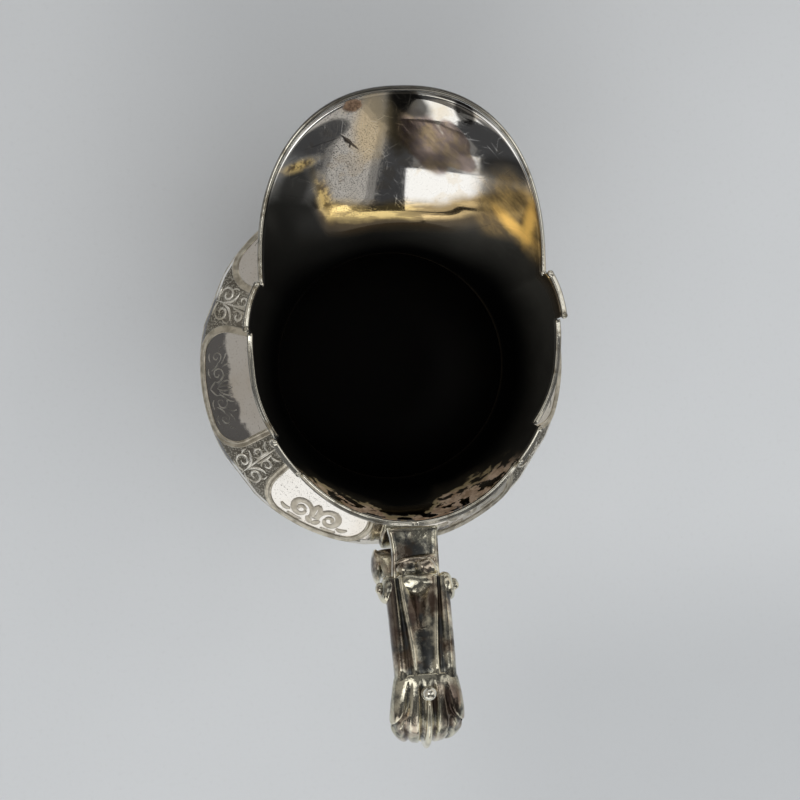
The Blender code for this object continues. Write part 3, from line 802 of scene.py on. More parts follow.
def arch(start, pull, end, steps=10):
    """Bent stroke between two points, pulled towards a third."""
    points = []
    for i in range(steps + 1):
        t = i / steps
        points.append(tuple(
            (1 - t) ** 2 * start[k] + 2 * t * (1 - t) * pull[k] + t * t * end[k] for k in (0, 1)))
    return points


def laid_stroke(centre_angle, foot, points, width, height, mirror, scale=MILLIMETRE,
                section=CUT_LEAF):
    """A drawn stroke, thick in its middle, laid on the skin around a centre line."""
    line = []
    for across, up in points:
        climb = foot + up * scale
        here = skin_point(centre_angle, climb)
        radius = math.hypot(here.x, here.y)
        line.append((centre_angle + mirror * math.degrees(across * scale / radius), climb))
    last = len(points) - 1
    widths = [width * scale * (0.25 + 0.75 * math.sin(math.pi * (0.1 + 0.8 * i / last)))
              for i in range(last + 1)]
    return laid_band(line, widths, height, section)


STRAP_LEAVES = (
    (curl((2.3, 3.4), 2.1, 0.5, -100, 1.15), 0.42),
    (arch((0.3, 1.4), (1.5, 0.5), (3.6, 0.9)), 0.40),
    (arch((0.2, 3.0), (0.6, 6.0), (3.6, 6.6)), 0.46),
    (curl((2.0, 8.3), 1.6, 0.4, 250, -1.1), 0.38),
    (arch((0.2, 6.2), (1.0, 9.6), (0.4, 11.2)), 0.44),
    (arch((0.6, 11.0), (2.2, 10.4), (3.1, 12.2)), 0.40),
    (curl((1.7, 13.9), 1.3, 0.35, 200, 1.0), 0.34),
    (arch((3.9, 4.4), (4.7, 5.2), (4.2, 6.2)), 0.30),
)
STRAP_STEM = (arch((0.0, 0.6), (0.5, 8.0), (0.0, 16.0), 20), 0.34)
NECK_VINE = (
    (arch((0.0, 0.0), (3.6, 3.0), (0.0, 6.2), 12), 0.32),
    (curl((1.1, 3.0), 1.2, 0.3, -80, 1.05), 0.30),
    (arch((0.4, 5.4), (2.4, 5.2), (3.2, 7.0)), 0.34),
    (arch((0.2, 1.2), (2.0, 0.2), (3.3, 1.4)), 0.30),
)
SIDE_ARABESQUE = (
    (curl((4.4, 4.6), 2.5, 0.5, 205, -1.3, 24), 0.22),
    (arch((0.0, 1.4), (1.0, 2.2), (2.2, 3.5)), 0.24),
    (curl((9.6, 4.2), 1.9, 0.4, 165, -1.2, 20), 0.20),
    (arch((5.6, 2.4), (6.6, 4.6), (7.7, 4.7)), 0.22),
    (arch((0.0, 4.0), (1.5, 6.4), (0.0, 9.4)), 0.28),
    (arch((0.7, 4.6), (2.6, 6.4), (2.2, 8.8)), 0.26),
    (arch((1.4, 4.4), (4.4, 7.0), (4.4, 9.0)), 0.24),
    (arch((3.4, 2.0), (4.6, 0.8), (6.4, 1.4)), 0.24),
    (arch((6.4, 6.4), (7.6, 7.6), (7.0, 9.2)), 0.22),
    (arch((7.4, 6.0), (9.4, 7.4), (10.6, 7.4)), 0.22),
    (arch((8.4, 2.0), (9.6, 1.0), (11.2, 1.6)), 0.20),
    (arch((11.4, 4.8), (12.6, 4.8), (12.9, 6.4)), 0.20),
)
REAR_CARTOUCHE = (
    (curl((3.9, 3.3), 3.1, 1.2, 215, -1.10, 26), 0.86),
    (curl((3.9, 3.2), 1.2, 0.5, 180, -0.60, 12), 0.60),
    (arch((0.0, 0.6), (1.0, 1.0), (1.7, 2.2)), 0.80),
    (arch((0.0, 2.2), (1.7, 4.2), (0.0, 6.6)), 0.75),
    (arch((6.3, 1.6), (7.8, 0.6), (9.0, 1.8)), 0.70),
    (arch((2.6, 0.4), (4.6, -0.4), (6.6, 0.3)), 0.60),
)


def scrollwork(leaf_finish, cut_finish, frosted_finish):
    """Leaves on the straps, fine cut lines on the front and side panels, frosted rear scrolls."""
    strokes, cuts, frosted = [], [], []

    def strap_leaves(strap):
        for points, width in STRAP_LEAVES:
            for mirror in (-1, 1):
                strokes.append(laid_stroke(strap, LEAF_FOOT, points, width, LEAF_HEIGHT, mirror))

    for side in (-1, 1):
        for strap in STRAPS[1:3]:
            strap_leaves(side * strap)
            strokes.append(laid_stroke(side * strap, LEAF_FOOT, *STRAP_STEM, LEAF_HEIGHT, 1))
            for step in range(3):
                foot = SHOULDER_CLIMB + VINE_FOOT + VINE_STEP * step
                for points, width in NECK_VINE:
                    strokes.append(laid_stroke(
                        side * strap, foot, points, width, VINE_HEIGHT, 1 if step % 2 else -1))
        for panel, motif, foot, scale, group in (
                (0, SIDE_ARABESQUE, 0.0020, 0.00080, cuts), (1, SIDE_ARABESQUE, 0.0020, 0.00080, cuts),
                (2, REAR_CARTOUCHE, 0.0026, 0.00100, frosted)):
            centre = side * sum(PANELS[panel]) / 2
            for points, width in motif:
                for mirror in (-1, 1):
                    group.append(laid_stroke(
                        centre, foot, points, width, CUT_HEIGHT, mirror, scale, FROSTED_LINE))
    strap_leaves(STRAPS[0])
    for name, group, finish in (
            ("strap_leaves", strokes, leaf_finish), ("panel_cut_lines", cuts, cut_finish),
            ("panel_scrolls", frosted, frosted_finish)):
        finished(name, join(group), [finish], ())


def in_panel(angle, climb):
    """Whether a spot on the skin lies inside a panel's border."""
    angle = abs(angle)
    for start, end in PANELS:
        if start < angle < end and climb > PANEL_FOOT:
            edge = math.radians(min(angle - start, end - angle)) * BELLY_RADIUS
            up = climb - PANEL_FOOT
            if edge >= PANEL_CORNER or up >= PANEL_CORNER:
                return True
            return math.hypot(PANEL_CORNER - edge, PANEL_CORNER - up) < PANEL_CORNER
    return False


def thicken(piece, even=False):
    """Gives an open shell its wall, with the last of its finishes on the inside and edge."""
    wall = piece.modifiers.new("wall", "SOLIDIFY")
    wall.thickness = WALL
    wall.offset = -1.0
    wall.use_even_offset = even
    wall.use_quality_normals = even
    wall.material_offset = 2
    wall.material_offset_rim = 2


def belly_shell(outside, ground, inside):
    angles = bowl_columns(32, 10)
    lower = [-BOWL_DEPTH * math.cos(math.pi / 2 * i / 34) for i in range(34)]
    upper = [SHOULDER_CLIMB * (i / 44) ** 1.15 for i in range(45)]
    rows = lower + upper
    bm = wrapped_grid(
        len(angles), len(rows) - 1,
        lambda column, row: skin_point(angles[column % len(angles)], min(
            rows[row], SHOULDER_CLIMB - 0.0000001)))
    base = [edge for edge in bm.edges if edge.is_boundary and edge.verts[0].co.z < BELLY_Z]
    bmesh.ops.holes_fill(bm, edges=base, sides=0)
    for face in bm.faces:
        middle = face.calc_center_median()
        angle = math.degrees(math.atan2(middle.x, middle.y))
        low = min(climbs, key=lambda pair: abs(pair[1] - middle.z))[0]
        strap = middle.z > BELLY_Z and not in_panel(angle, low) and low > PANEL_FOOT * 0.8
        strap = strap and abs(angle) < 180.0 - STRAP_HALF - 2.0
        face.material_index = 1 if strap else 0
    piece = finished("belly_shell", bm, [outside, ground, inside], ("body_bowl",),
                     shell=True)
    thicken(piece)


def rim_columns():
    half = []
    for run, steps in zip(rim_runs(), (64, 10, 28, 10, 30)):
        half += run_stations(run, steps, STEP_ANGLE / 2)
    return [(-angle, z) for angle, z in reversed(half[1:])] + half[:-1]


def neck_shell(outside, ground, inside):
    stations = rim_columns()
    lower_rows, upper_rows = 46, 32

    def place(column, row):
        angle, top = stations[column % len(stations)]
        ledge = rim_line(angle)[1] + SIDE_SCALLOP[1] - WALL
        if row <= lower_rows:
            return neck_point(angle, between(THROAT_Z, ledge, (row / lower_rows) ** 0.85))
        return neck_point(angle, between(ledge, top, (row - lower_rows) / upper_rows))

    bm = wrapped_grid(len(stations), lower_rows + upper_rows, place)
    for face in bm.faces:
        middle = face.calc_center_median()
        angle = abs(math.degrees(math.atan2(middle.x, middle.y)))
        strap = FRONT_TAB[0] < angle < FRONT_TAB[1] or REAR_TAB[0] < angle < REAR_TAB[1]
        face.material_index = 1 if strap or angle > 180.0 - STRAP_HALF else 0
    piece = finished("neck_shell", bm, [outside, ground, inside], ("neck_and_lip",),
                     shell=True)
    thicken(piece, even=True)


def rim_wire_frame(angle, top):
    """Seat of the rim wire on the wall's edge: its centre, the way up and the way in."""
    edge = neck_point(angle, top)
    along = (edge - neck_point(angle, top - WALL)).normalized()
    side = Vector((math.cos(math.radians(angle)), -math.sin(math.radians(angle)), 0.0))
    inwards = along.cross(side)
    if inwards.dot(on_axis(angle, 1.0, 0.0)) > 0.0:
        inwards = -inwards
    return edge + inwards * (WALL / 2) + along * (SEAM + WIRE_RADIUS), along, inwards


REEDED_WIRE = []
for i in range(20):
    turn = 2 * math.pi * i / 20
    pinch = 0.72 + 0.28 * abs(math.cos(turn)) ** 0.8
    REEDED_WIRE.append((math.cos(turn), math.sin(turn) * pinch))


def ball(radius, around, rings, centre=(0.0, 0.0, 0.0)):
    bm = bmesh.new()
    bmesh.ops.create_uvsphere(bm, u_segments=around, v_segments=rings, radius=radius)
    bmesh.ops.translate(bm, vec=centre, verts=bm.verts)
    return bm


def wire_run(stations, ends):
    """Reeded wire along a run of the rim, with a small bead at each named end."""
    frames = [rim_wire_frame(angle, z) for angle, z in stations]

    def place(column, row):
        centre, along, inwards = frames[row]
        across, up = REEDED_WIRE[column % len(REEDED_WIRE)]
        seat = centre - along * (SEAM * 0.9)
        return seat + (inwards * across + along * up) * (WIRE_RADIUS * 0.98)

    bm = wrapped_grid(len(REEDED_WIRE), len(frames) - 1, place)
    close_ends(bm)
    parts = [bm]
    for end in ends:
        parts.append(ball(WIRE_RADIUS * 1.12, 16, 10, frames[end][0] - frames[end][1] * SEAM))
    return join(parts)


def rim_wires(finish):
    def edge_wire(name, node, stations, beads):
        mark_flanks(finished(name, wire_run(stations, beads), [finish], (node,)))

    runs = rim_runs()
    half = run_stations(runs[0], 60, STEP_ANGLE)
    lip = [(-angle, z) for angle, z in reversed(half[1:])] + half
    edge_wire("lip_edge_wire", "lip_wire", lip, (0, -1))
    names = ("front_{}_tab_wire", "{}_side_wire", "rear_{}_tab_wire", "rear_{}_wire")
    ends = ((0, -1), (), (0, -1), ())
    for name, run, steps, beads in zip(names, runs[1:], (12, 30, 12, 32), ends):
        stations = run_stations(run, steps, STEP_ANGLE)
        for hand, side in (("left", -1), ("right", 1)):
            node = name.format(hand)
            turned = [(side * angle, z) for angle, z in stations]
            edge_wire(node.replace("wire", "edge"), node, turned, beads)


def turned_piece(outline, steps=144, closed=True):
    """Turns an outline of radius and height pairs around the upright axis."""
    bm = bmesh.new()
    corners = [bm.verts.new((radius, 0.0, z)) for radius, z in outline]
    first = 0 if closed else 1
    edges = [bm.edges.new((corners[i - 1], corners[i])) for i in range(first, len(corners))]
    bmesh.ops.spin(bm, geom=corners + edges, axis=(0, 0, 1), angle=2 * math.pi, steps=steps,
                   use_merge=True)
    return bm


def round_edge(steps, start=-0.5, sweep=1.0):
    """Reach and rise around a rounded edge, a half turn from its foot if no other is given."""
    turns = [math.pi * (sweep * i / steps + start) for i in range(steps + 1)]
    return [(math.cos(turn), math.sin(turn)) for turn in turns]


def foot(plate, wire):
    low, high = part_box("foot_ring")
    radius, top = high.x, high.z
    inner, outer = radius - 0.0040, radius - 0.0009
    ring = [(inner, 0.0), (outer, 0.0)]
    for centre, size, inset in ((0.30, 0.30, 0.0), (0.76, 0.24, 0.0007)):
        for reach, rise in round_edge(8):
            ring.append((outer - inset + top * size * reach * 0.9, top * (centre + size * rise)))
    ring.append((inner, top))
    finished("foot_moulding", turned_piece(ring), [wire], ("foot_ring",), 40)

    low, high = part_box("foot_spool")
    wide, tall, narrow = high.x, high.z - low.z + SEAM, 0.0135
    outside, inside = [], []
    for i in range(33):
        share = i / 32
        spread = between(wide, narrow, math.sin(math.pi / 2 * share) ** 0.8)
        z = low.z - SEAM + tall * (1.0 - math.cos(math.pi / 2 * share))
        step = 0.0004 * ridge(share, 0.16, 0.05) + 0.0003 * ridge(share, 0.30, 0.03)
        outside.append((spread, z + step))
        inside.append((spread - WALL, max(z - WALL, low.z - SEAM)))
    inside[-1] = (narrow - WALL, high.z)
    finished("foot_spool_shell", turned_piece(outside + inside[::-1][:-1]), [plate],
             ("foot_spool",), 50)

    low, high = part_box("foot_collar")
    tall = high.z - low.z
    bore = 0.0115
    collar = [(bore, low.z - SEAM)]
    for centre, size, radius in ((0.16, 0.16, 0.0147), (0.52, 0.22, 0.01435), (0.86, 0.14, 0.0149)):
        for reach, rise in round_edge(8):
            collar.append((radius + tall * size * 0.6 * reach, low.z + tall * (centre + size * rise)))
    collar.append((bore, high.z + SEAM))
    finished("foot_knop", turned_piece(collar), [wire], ("foot_collar",), 40)


def heading(angle, length):
    return Vector((math.cos(math.radians(angle)), math.sin(math.radians(angle)))) * length


def bend(start, lean_out, lean_in, end, steps):
    return [Vector(point) for point in interpolate_bezier(start, lean_out, lean_in, end, steps)]


def casting(path, columns, half_width, half_depth, squareness, relief):
    """Cast length of the handle: an oval or boxy section along a path, with relief on it."""
    rows = len(path) - 1

    def place(column, row):
        share = row / rows
        before, after = path[max(row - 1, 0)], path[min(row + 1, rows)]
        along = (after - before).normalized()
        turn = 2 * math.pi * column / columns
        power = 2.0 / squareness(share)
        across = math.copysign(abs(math.cos(turn)) ** power, math.cos(turn))
        out = math.copysign(abs(math.sin(turn)) ** power, math.sin(turn))
        lift = out * half_depth(share) + relief(share, across, out)
        back, z = path[row] + Vector((-along.y, along.x)) * lift
        return Vector((across * half_width(share), -back, z))

    bm = wrapped_grid(columns, rows, place)
    close_ends(bm)
    return bm


strap_start = Vector((
    -neck_point(180.0, RIM_Z - 0.0020).y + PLATE_THICKNESS * 1.3 + 2 * SEAM,
    RIM_Z - 0.0020 - STRAP_THICKNESS))
strap_end = strap_start + heading(STRAP_PITCH, STRAP_LENGTH)
bar_start = strap_end + heading(STRAP_PITCH, SEAM)
peak_z = RIM_Z + HANDLE_RISE - LEAF_DEPTH / 2
leaf_start = Vector((between(bar_start.x, HANDLE_REACH, 0.54), peak_z - BEAD_RADIUS))
leaf_end = Vector((HANDLE_REACH - DROP_DEPTH / 2, peak_z - LEAF_DROP))


def handle_strap(finish):
    path = [strap_start.lerp(strap_end, i / 40) - heading(STRAP_PITCH, 0.0003 * (1 - i / 40))
            for i in range(41)]

    def half_width(share):
        root = 0.0004 * (1.0 - smooth(share / 0.24)) ** 1.5
        return 0.0052 - 0.0003 * ridge(share, 0.5, 0.4) + root

    def relief(share, across, out):
        if out < 0.0:
            return 0.0
        edge = ridge(abs(across), 0.9, 0.16)
        lip_line = 0.0003 * ridge(share, 0.03, 0.05)
        dish = 1.0 - smooth(abs(across) / 0.75)
        return 0.00022 * edge + lip_line - 0.00045 * dish * smooth(share * 4) * smooth((1 - share) * 3)

    bm = casting(path, 72, half_width, lambda share: STRAP_THICKNESS / 2, lambda share: 7.0, relief)
    finished("strap_casting", bm, [finish], ("handle_strap",), 50)


def strap_crest(finish):
    """Rough leaf crest on the strap's end: two lumps under a rolled ridge."""
    lean = Matrix.Rotation(-math.radians(STRAP_PITCH), 4, "X")
    at = strap_end - heading(STRAP_PITCH, 0.0030) + heading(STRAP_PITCH + 90.0, 0.0011)
    lobes = []
    for across, back, width, length, rise, turn in (
            (-0.0020, 0.0006, 0.0050, 0.0044, 0.0017, 26.0),
            (0.0020, 0.0003, 0.0054, 0.0046, 0.0021, -22.0),
            (0.0002, -0.0014, 0.0092, 0.0020, 0.0015, 6.0),
            (0.0002, 0.0020, 0.0062, 0.0022, 0.0012, -8.0),
            (0.0000, 0.0036, 0.0104, 0.0054, 0.0023, 0.0)):
        bm = ball(0.5, 32, 20)
        for vert in bm.verts:
            x, y, _ = vert.co
            vert.co *= 1.0 + 0.07 * math.sin(9.0 * x + 3.0 * y) * math.cos(7.0 * y + 5.0 * across * 1000)
        bmesh.ops.scale(bm, vec=(width, length, 2 * rise), verts=bm.verts)
        bmesh.ops.rotate(bm, cent=(0, 0, 0), matrix=Matrix.Rotation(math.radians(turn), 3, "Z"),
                         verts=bm.verts)
        bmesh.ops.translate(bm, vec=(across, -back, 0.0), verts=bm.verts)
        bmesh.ops.transform(bm, matrix=lean, verts=bm.verts)
        bmesh.ops.translate(bm, vec=(0.0, -at.x, at.y), verts=bm.verts)
        lobes.append(bm)
    finished("strap_crest", join(lobes), [finish], ("strap_boss",))


def fluted_bar(finish):
    """Bar that rises from the strap to the knuckle; gives its path."""
    pull = (leaf_start.x - bar_start.x) / 3
    path = bend(bar_start - heading(STRAP_PITCH, 0.0003),
                bar_start + heading(2 * STRAP_PITCH, pull),
                leaf_start - heading(STRAP_PITCH, pull),
                leaf_start + heading(STRAP_PITCH, 0.0004), 81)

    def relief(share, across, out):
        """Round outer rails, and two ribs that draw together below a pointed recess."""
        side = abs(across)
        if out < -0.15:
            return -0.0006 * ridge(side, 0.0, 0.5)
        rib_at = between(0.56, 0.36, smooth(share * 1.15))
        rail = 0.00062 * ridge(side, 0.84, 0.24)
        groove = -0.00050 * ridge(side, (rib_at + 0.70) / 2, (0.72 - rib_at) / 2)
        rib = 0.00050 * ridge(side, rib_at, 0.12)
        floor = -between(0.0015, 0.0006, smooth(share * 1.3)) * (1.0 - smooth(side / rib_at))
        point = (rib_at - 0.04) * (1.0 - share / 0.50)
        cut = -0.0011 * smooth(share * 9.0) * max(0.0, 1.0 - side / point) if point > 0.01 else 0.0
        fade = smooth((1.0 - share) * 6.0) * 0.9 + 0.1
        return (rail + groove + rib + floor + cut) * fade * smooth(out * 3.0 + 0.4)

    bm = casting(
        path, 144, lambda share: between(1.09, 1.02, share) * BAR_WIDTH / 2,
        lambda share: BAR_DEPTH / 2 * (1.0 - 0.28 * smooth((share - 0.86) / 0.14)),
        lambda share: 3.2, relief)
    finished("fluted_bar", bm, [finish], ("handle_bar",))
    return path


def side_volutes(finish, bar_path):
    """Small scrolls at the bar's sides: one thick turn that ends in a button."""
    centre = bar_path[0].lerp(bar_path[-1], 0.09)
    flank = BAR_WIDTH * 1.05 / 2
    for hand, side in (("left", -1), ("right", 1)):
        coil = []
        for i in range(49):
            share = i / 48
            turn = math.radians(200.0 - 430.0 * share)
            radius = between(0.0019, 0.0008, smooth(share))
            coil.append(Vector((
                side * (flank + between(-0.0006, 0.0013, smooth(share))),
                -(centre.x + radius * math.cos(turn)), centre.y + radius * math.sin(turn))))

        def place(column, row):
            before, after = coil[max(row - 1, 0)], coil[min(row + 1, 48)]
            along = (after - before).normalized()
            wide = along.cross(Vector((side, 0.0, 0.0))).normalized()
            thick = between(0.0015, 0.0010, row / 48)
            turn = 2 * math.pi * column / 20
            return coil[row] + wide * (thick * math.cos(turn)) + wide.cross(along) * (
                thick * math.sin(turn))

        bm = wrapped_grid(20, 48, place)
        close_ends(bm)
        button = ball(0.0011, 20, 14, coil[-1])
        finished(hand + "_scroll", join([bm, button]), [finish], (hand + "_volute",))


KEEL = (
    (-1.0, -0.6), (-0.92, 0.20), (-0.70, 0.66), (-0.36, 0.92), (0.0, 1.0), (0.36, 0.92), (0.70, 0.66),
    (0.92, 0.20), (1.0, -0.6))


def leaf_knuckle(finish):
    """Rounded knuckle: two leaf lobes a side, fluted, with a keel down its middle."""
    start = leaf_start + heading(STRAP_PITCH, SEAM)
    reach = leaf_end.x - start.x
    path = bend(start - heading(STRAP_PITCH, 0.0020), start + heading(STRAP_PITCH, reach * 0.68),
                leaf_end + heading(96.0, LEAF_DROP * 0.6) - Vector((0.0010, 0.0)),
                leaf_end - Vector((0.0010, 0.0003)), 121)
    last = len(path) - 1

    def swell(share):
        return math.sin(math.pi * min(max(share, 0.0), 1.0) ** 0.70)

    def half_width(share):
        plain = between(BAR_WIDTH, DROP_WIDTH, smooth(share * 1.4))
        notch = 1.0 - 0.06 * ridge(share, 0.46, 0.07)
        return between(plain, LEAF_WIDTH + 0.0004, swell(share)) / 2 * notch

    def half_depth(share):
        root = 0.0003 * (1.0 - smooth(share / 0.2))
        return between(DROP_DEPTH, LEAF_DEPTH - 0.0006, swell(share)) / 2 - 0.0002 + root

    def relief(share, across, out):
        side = abs(across)
        if out < 0.0:
            return 0.0
        bow = 0.12 * math.sin(math.pi * share)
        beside_keel = -0.00075 * ridge(side, 0.17, 0.12)
        flutes = -0.00065 * ridge(side, 0.50 + bow, 0.13)
        between_lobes = share - 0.46 + (1.0 - side) * 0.50
        notch = -0.00080 * ridge(between_lobes, 0.0, 0.06) * smooth((side - 0.50) * 5)
        lobes = 0.00035 * (ridge(share, 0.24, 0.22) + ridge(share, 0.70, 0.24)) * ridge(side, 0.85, 0.35)
        fade = smooth(share * 6) * smooth((1.0 - share) * 6)
        return (beside_keel + flutes + notch + lobes) * fade * smooth(out * 3 + 0.2)

    def leaf_skin(across, share):
        low = min(int(max(share, 0.0) * last), last - 1)
        here = path[low].lerp(path[low + 1], share * last - low)
        along = (path[min(low + 2, last)] - path[max(low - 1, 0)]).normalized()
        out = (1.0 - min(abs(across), 0.995) ** 2.2) ** (1.0 / 2.2)
        back, z = here + Vector((-along.y, along.x)) * (out * half_depth(share))
        return Vector((across * half_width(share), -back, z))

    def leaf_frame(across, share):
        aside = leaf_skin(across + 0.02, share) - leaf_skin(across - 0.02, share)
        onward = leaf_skin(across, min(share + 0.01, 1.0)) - leaf_skin(across, max(share - 0.01, 0.0))
        out = onward.cross(aside).normalized()
        middle = path[min(int(share * last), last)]
        here = leaf_skin(across, share)
        if out.dot(here - Vector((0.0, -middle.x, middle.y))) < 0.0:
            out = -out
        return here, out

    parts = [casting(path, 192, half_width, half_depth, lambda share: 2.2, relief)]
    keel = [(0.0, between(0.16, 0.99, i / 30)) for i in range(31)]
    widths = [0.0008 * math.sin(math.pi * (0.14 + 0.78 * i / 30)) ** 0.6 for i in range(31)]
    parts.append(laid_band(keel, widths, 0.0012, KEEL, skin=leaf_frame))
    finished("leaf_knuckle", join(parts), [finish], ("thumb_leaf",))


def knuckle_bead(finish):
    low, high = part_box("thumb_bead")
    base = -0.0021
    outline = [(0.0, base - 0.0004)]
    for reach, rise in round_edge(8):
        outline.append((0.0013 + 0.0003 * reach, base + 0.0005 * rise))
    for reach, rise in round_edge(12, -0.36, 0.86):
        outline.append((0.00150 * reach, 0.0015 * rise))
    outline.append((0.0, 0.00150))
    bm = turned_piece(outline, 32, closed=False)
    lean = Matrix.Rotation(-math.radians(STRAP_PITCH), 4, "X")
    bmesh.ops.transform(bm, matrix=lean, verts=bm.verts)
    bmesh.ops.translate(
        bm, vec=(0.0, (low.y + high.y) / 2 - AXIS_Y + 0.0014, high.z - 0.00185), verts=bm.verts)
    finished("knuckle_bead", bm, [finish], ("thumb_bead",))


def scrolled_drop(finish):
    seat = Vector((-bowl_point(180.0, ROLL_Z).y, ROLL_Z))
    below = Vector((-bowl_point(180.0, ROLL_Z - WALL).y, ROLL_Z - WALL))
    up = (seat - below).normalized()
    centre = seat + Vector((up.y, -up.x)) * (PLATE_THICKNESS + 3 * SEAM + ROLL_RADIUS)
    coil = ROLL_RADIUS - ROLL_THICKNESS / 2
    pitch = 1.6 * ROLL_THICKNESS / 2 + 2 * SEAM
    roll = []
    for i in range(81):
        turn = 115.0 + 360.0 * ROLL_TURNS * i / 80
        roll.append(centre + heading(turn, coil - pitch * ROLL_TURNS * i / 80))
    start = leaf_end + heading(-85.0, SEAM)
    drop = bend(start + Vector((0.0, 0.0004)), start + heading(-85.0, (start.y - centre.y) * 0.5),
                roll[0] + heading(30.0, (start.x - centre.x) * 0.7), roll[0], 71)
    path = drop[:-1] + roll
    share_of_drop = 70 / (len(path) - 1)

    def half_width(share):
        part = share / share_of_drop
        slim = between(DROP_WIDTH, DROP_WIDTH - 0.0018, smooth(part * 3.0))
        return between(slim, ROLL_WIDTH, smooth((part - 0.86) / 0.24)) / 2

    def half_depth(share):
        part = share / share_of_drop
        if part < 1.0:
            return between(DROP_DEPTH - 0.0012, ROLL_THICKNESS, smooth(part)) / 2
        rolled = (share - share_of_drop) / (1 - share_of_drop)
        return between(ROLL_THICKNESS, ROLL_THICKNESS / 2, rolled) / 2

    def relief(share, across, out):
        part = share / share_of_drop
        side = abs(across)
        fade = 1.0 - smooth((part - 0.7) * 3.0)
        keel = 0.0005 * ridge(side, 0.0, 0.16)
        groove = -0.0004 * ridge(side, 0.42, 0.22)
        veins = 0.0002 * math.cos(2 * math.pi * (7.0 * part - side)) * (1.0 - smooth((part - 0.4) * 5))
        return math.copysign(1.0, out) * (keel + groove + veins) * fade * smooth(abs(out) * 3)

    parts = [casting(path, 56, half_width, half_depth, lambda share: 2.2, relief)]
    for side in (-1, 1):
        cap = ball(1.0, 36, 24)
        bmesh.ops.scale(cap, vec=(0.0013, ROLL_RADIUS * 0.90, ROLL_RADIUS * 0.90), verts=cap.verts)
        across = side * (ROLL_WIDTH / 2 - 0.0006)
        bmesh.ops.translate(cap, vec=(across, -centre.x, centre.y), verts=cap.verts)
        parts.append(cap)
    finished("scrolled_drop", join(parts), [finish], ("handle_drop",))


def fitted_plate(name, node, point, low, high, half_width, finish):
    """Shaped plate on the back of a shell, thicker along its middle."""
    columns, rows = 28, 28

    def place(column, row, lift):
        z = between(low, high, row / rows)
        wide = half_width(row / rows) / -point(180.0, z).y
        angle = 180.0 + math.degrees(wide) * (2.0 * column / columns - 1.0)
        here = point(angle, z)
        out = Vector((here.x, here.y, 0.0)).normalized()
        slope = point(angle, z + 0.0003) - point(angle, z - 0.0003)
        side = Vector((-out.y, out.x, 0.0))
        normal = side.cross(slope).normalized()
        if normal.dot(out) < 0.0:
            normal = -normal
        return here + normal * lift

    def outer(column, row):
        rim = max(abs(2.0 * column / columns - 1.0), abs(2.0 * row / rows - 1.0))
        return place(column, row, between(PLATE_THICKNESS + SEAM, SEAM, smooth((rim - 0.8) * 5)))

    top = wrapped_grid(columns, rows, outer)
    bottom = wrapped_grid(columns, rows, lambda column, row: place(column, row, 0.0))
    bm = join([top, bottom])
    bmesh.ops.bridge_loops(bm, edges=[edge for edge in bm.edges if edge.is_boundary])
    finished(name, bm, [finish], (node,))


plate = polished_plate()
lip = lip_plate()
inside = dark_inside()
wire = rubbed_wire()
ground = matted_ground()
chased = chased_silver()
borders = line_finish("worn_borders", color(0.72, 0.67, 0.56), color(0.44, 0.40, 0.32), 0.26)
cut_lines = line_finish("cut_lines", color(0.50, 0.48, 0.43), color(0.24, 0.23, 0.21), 0.30)
frosted = line_finish("frosted_scrolls", color(0.74, 0.69, 0.59), color(0.56, 0.51, 0.42), 0.28)
cast = tarnished_casting("tarnished_casting", 0.12)
scroll_cast = tarnished_casting("scroll_casting", 0.3)
knuckle_cast = tarnished_casting("knuckle_casting", -0.12, KNUCKLE_SHADE_MARKS)
bar_cast = tarnished_casting("bar_casting", 0.18, BAR_SHADE_MARKS)

belly_shell(plate, ground, inside)
neck_shell(plate, ground, lip)
panel_borders(borders)
scrollwork(chased, cut_lines, frosted)
rim_wires(wire)
foot(plate, wire)
bar_path = fluted_bar(bar_cast)
leaf_knuckle(knuckle_cast)
handle_strap(cast)
strap_crest(cast)
knuckle_bead(wire)
scrolled_drop(cast)
fitted_plate("neck_plate", "upper_handle_plate", neck_point, RIM_Z - 0.0125, RIM_Z - 0.0020,
             lambda share: 0.0038 * (0.45 + 0.55 * math.sin(math.pi / 2 * min(share * 1.5, 1.0))),
             borders)
fitted_plate("belly_plate", "lower_handle_plate", bowl_point, ROLL_Z - 0.0040, ROLL_Z + 0.0040,
             lambda share: 0.0034 * (0.6 + 0.4 * math.sin(math.pi * share)), cast)
side_volutes(scroll_cast, bar_path)
cast_names = {finish.name for finish in (cast, scroll_cast, knuckle_cast, bar_cast)}
for piece in bpy.data.objects:
    if piece.type == "MESH" and cast_names & set(piece.data.materials.keys()):
        mark_hollows(piece)


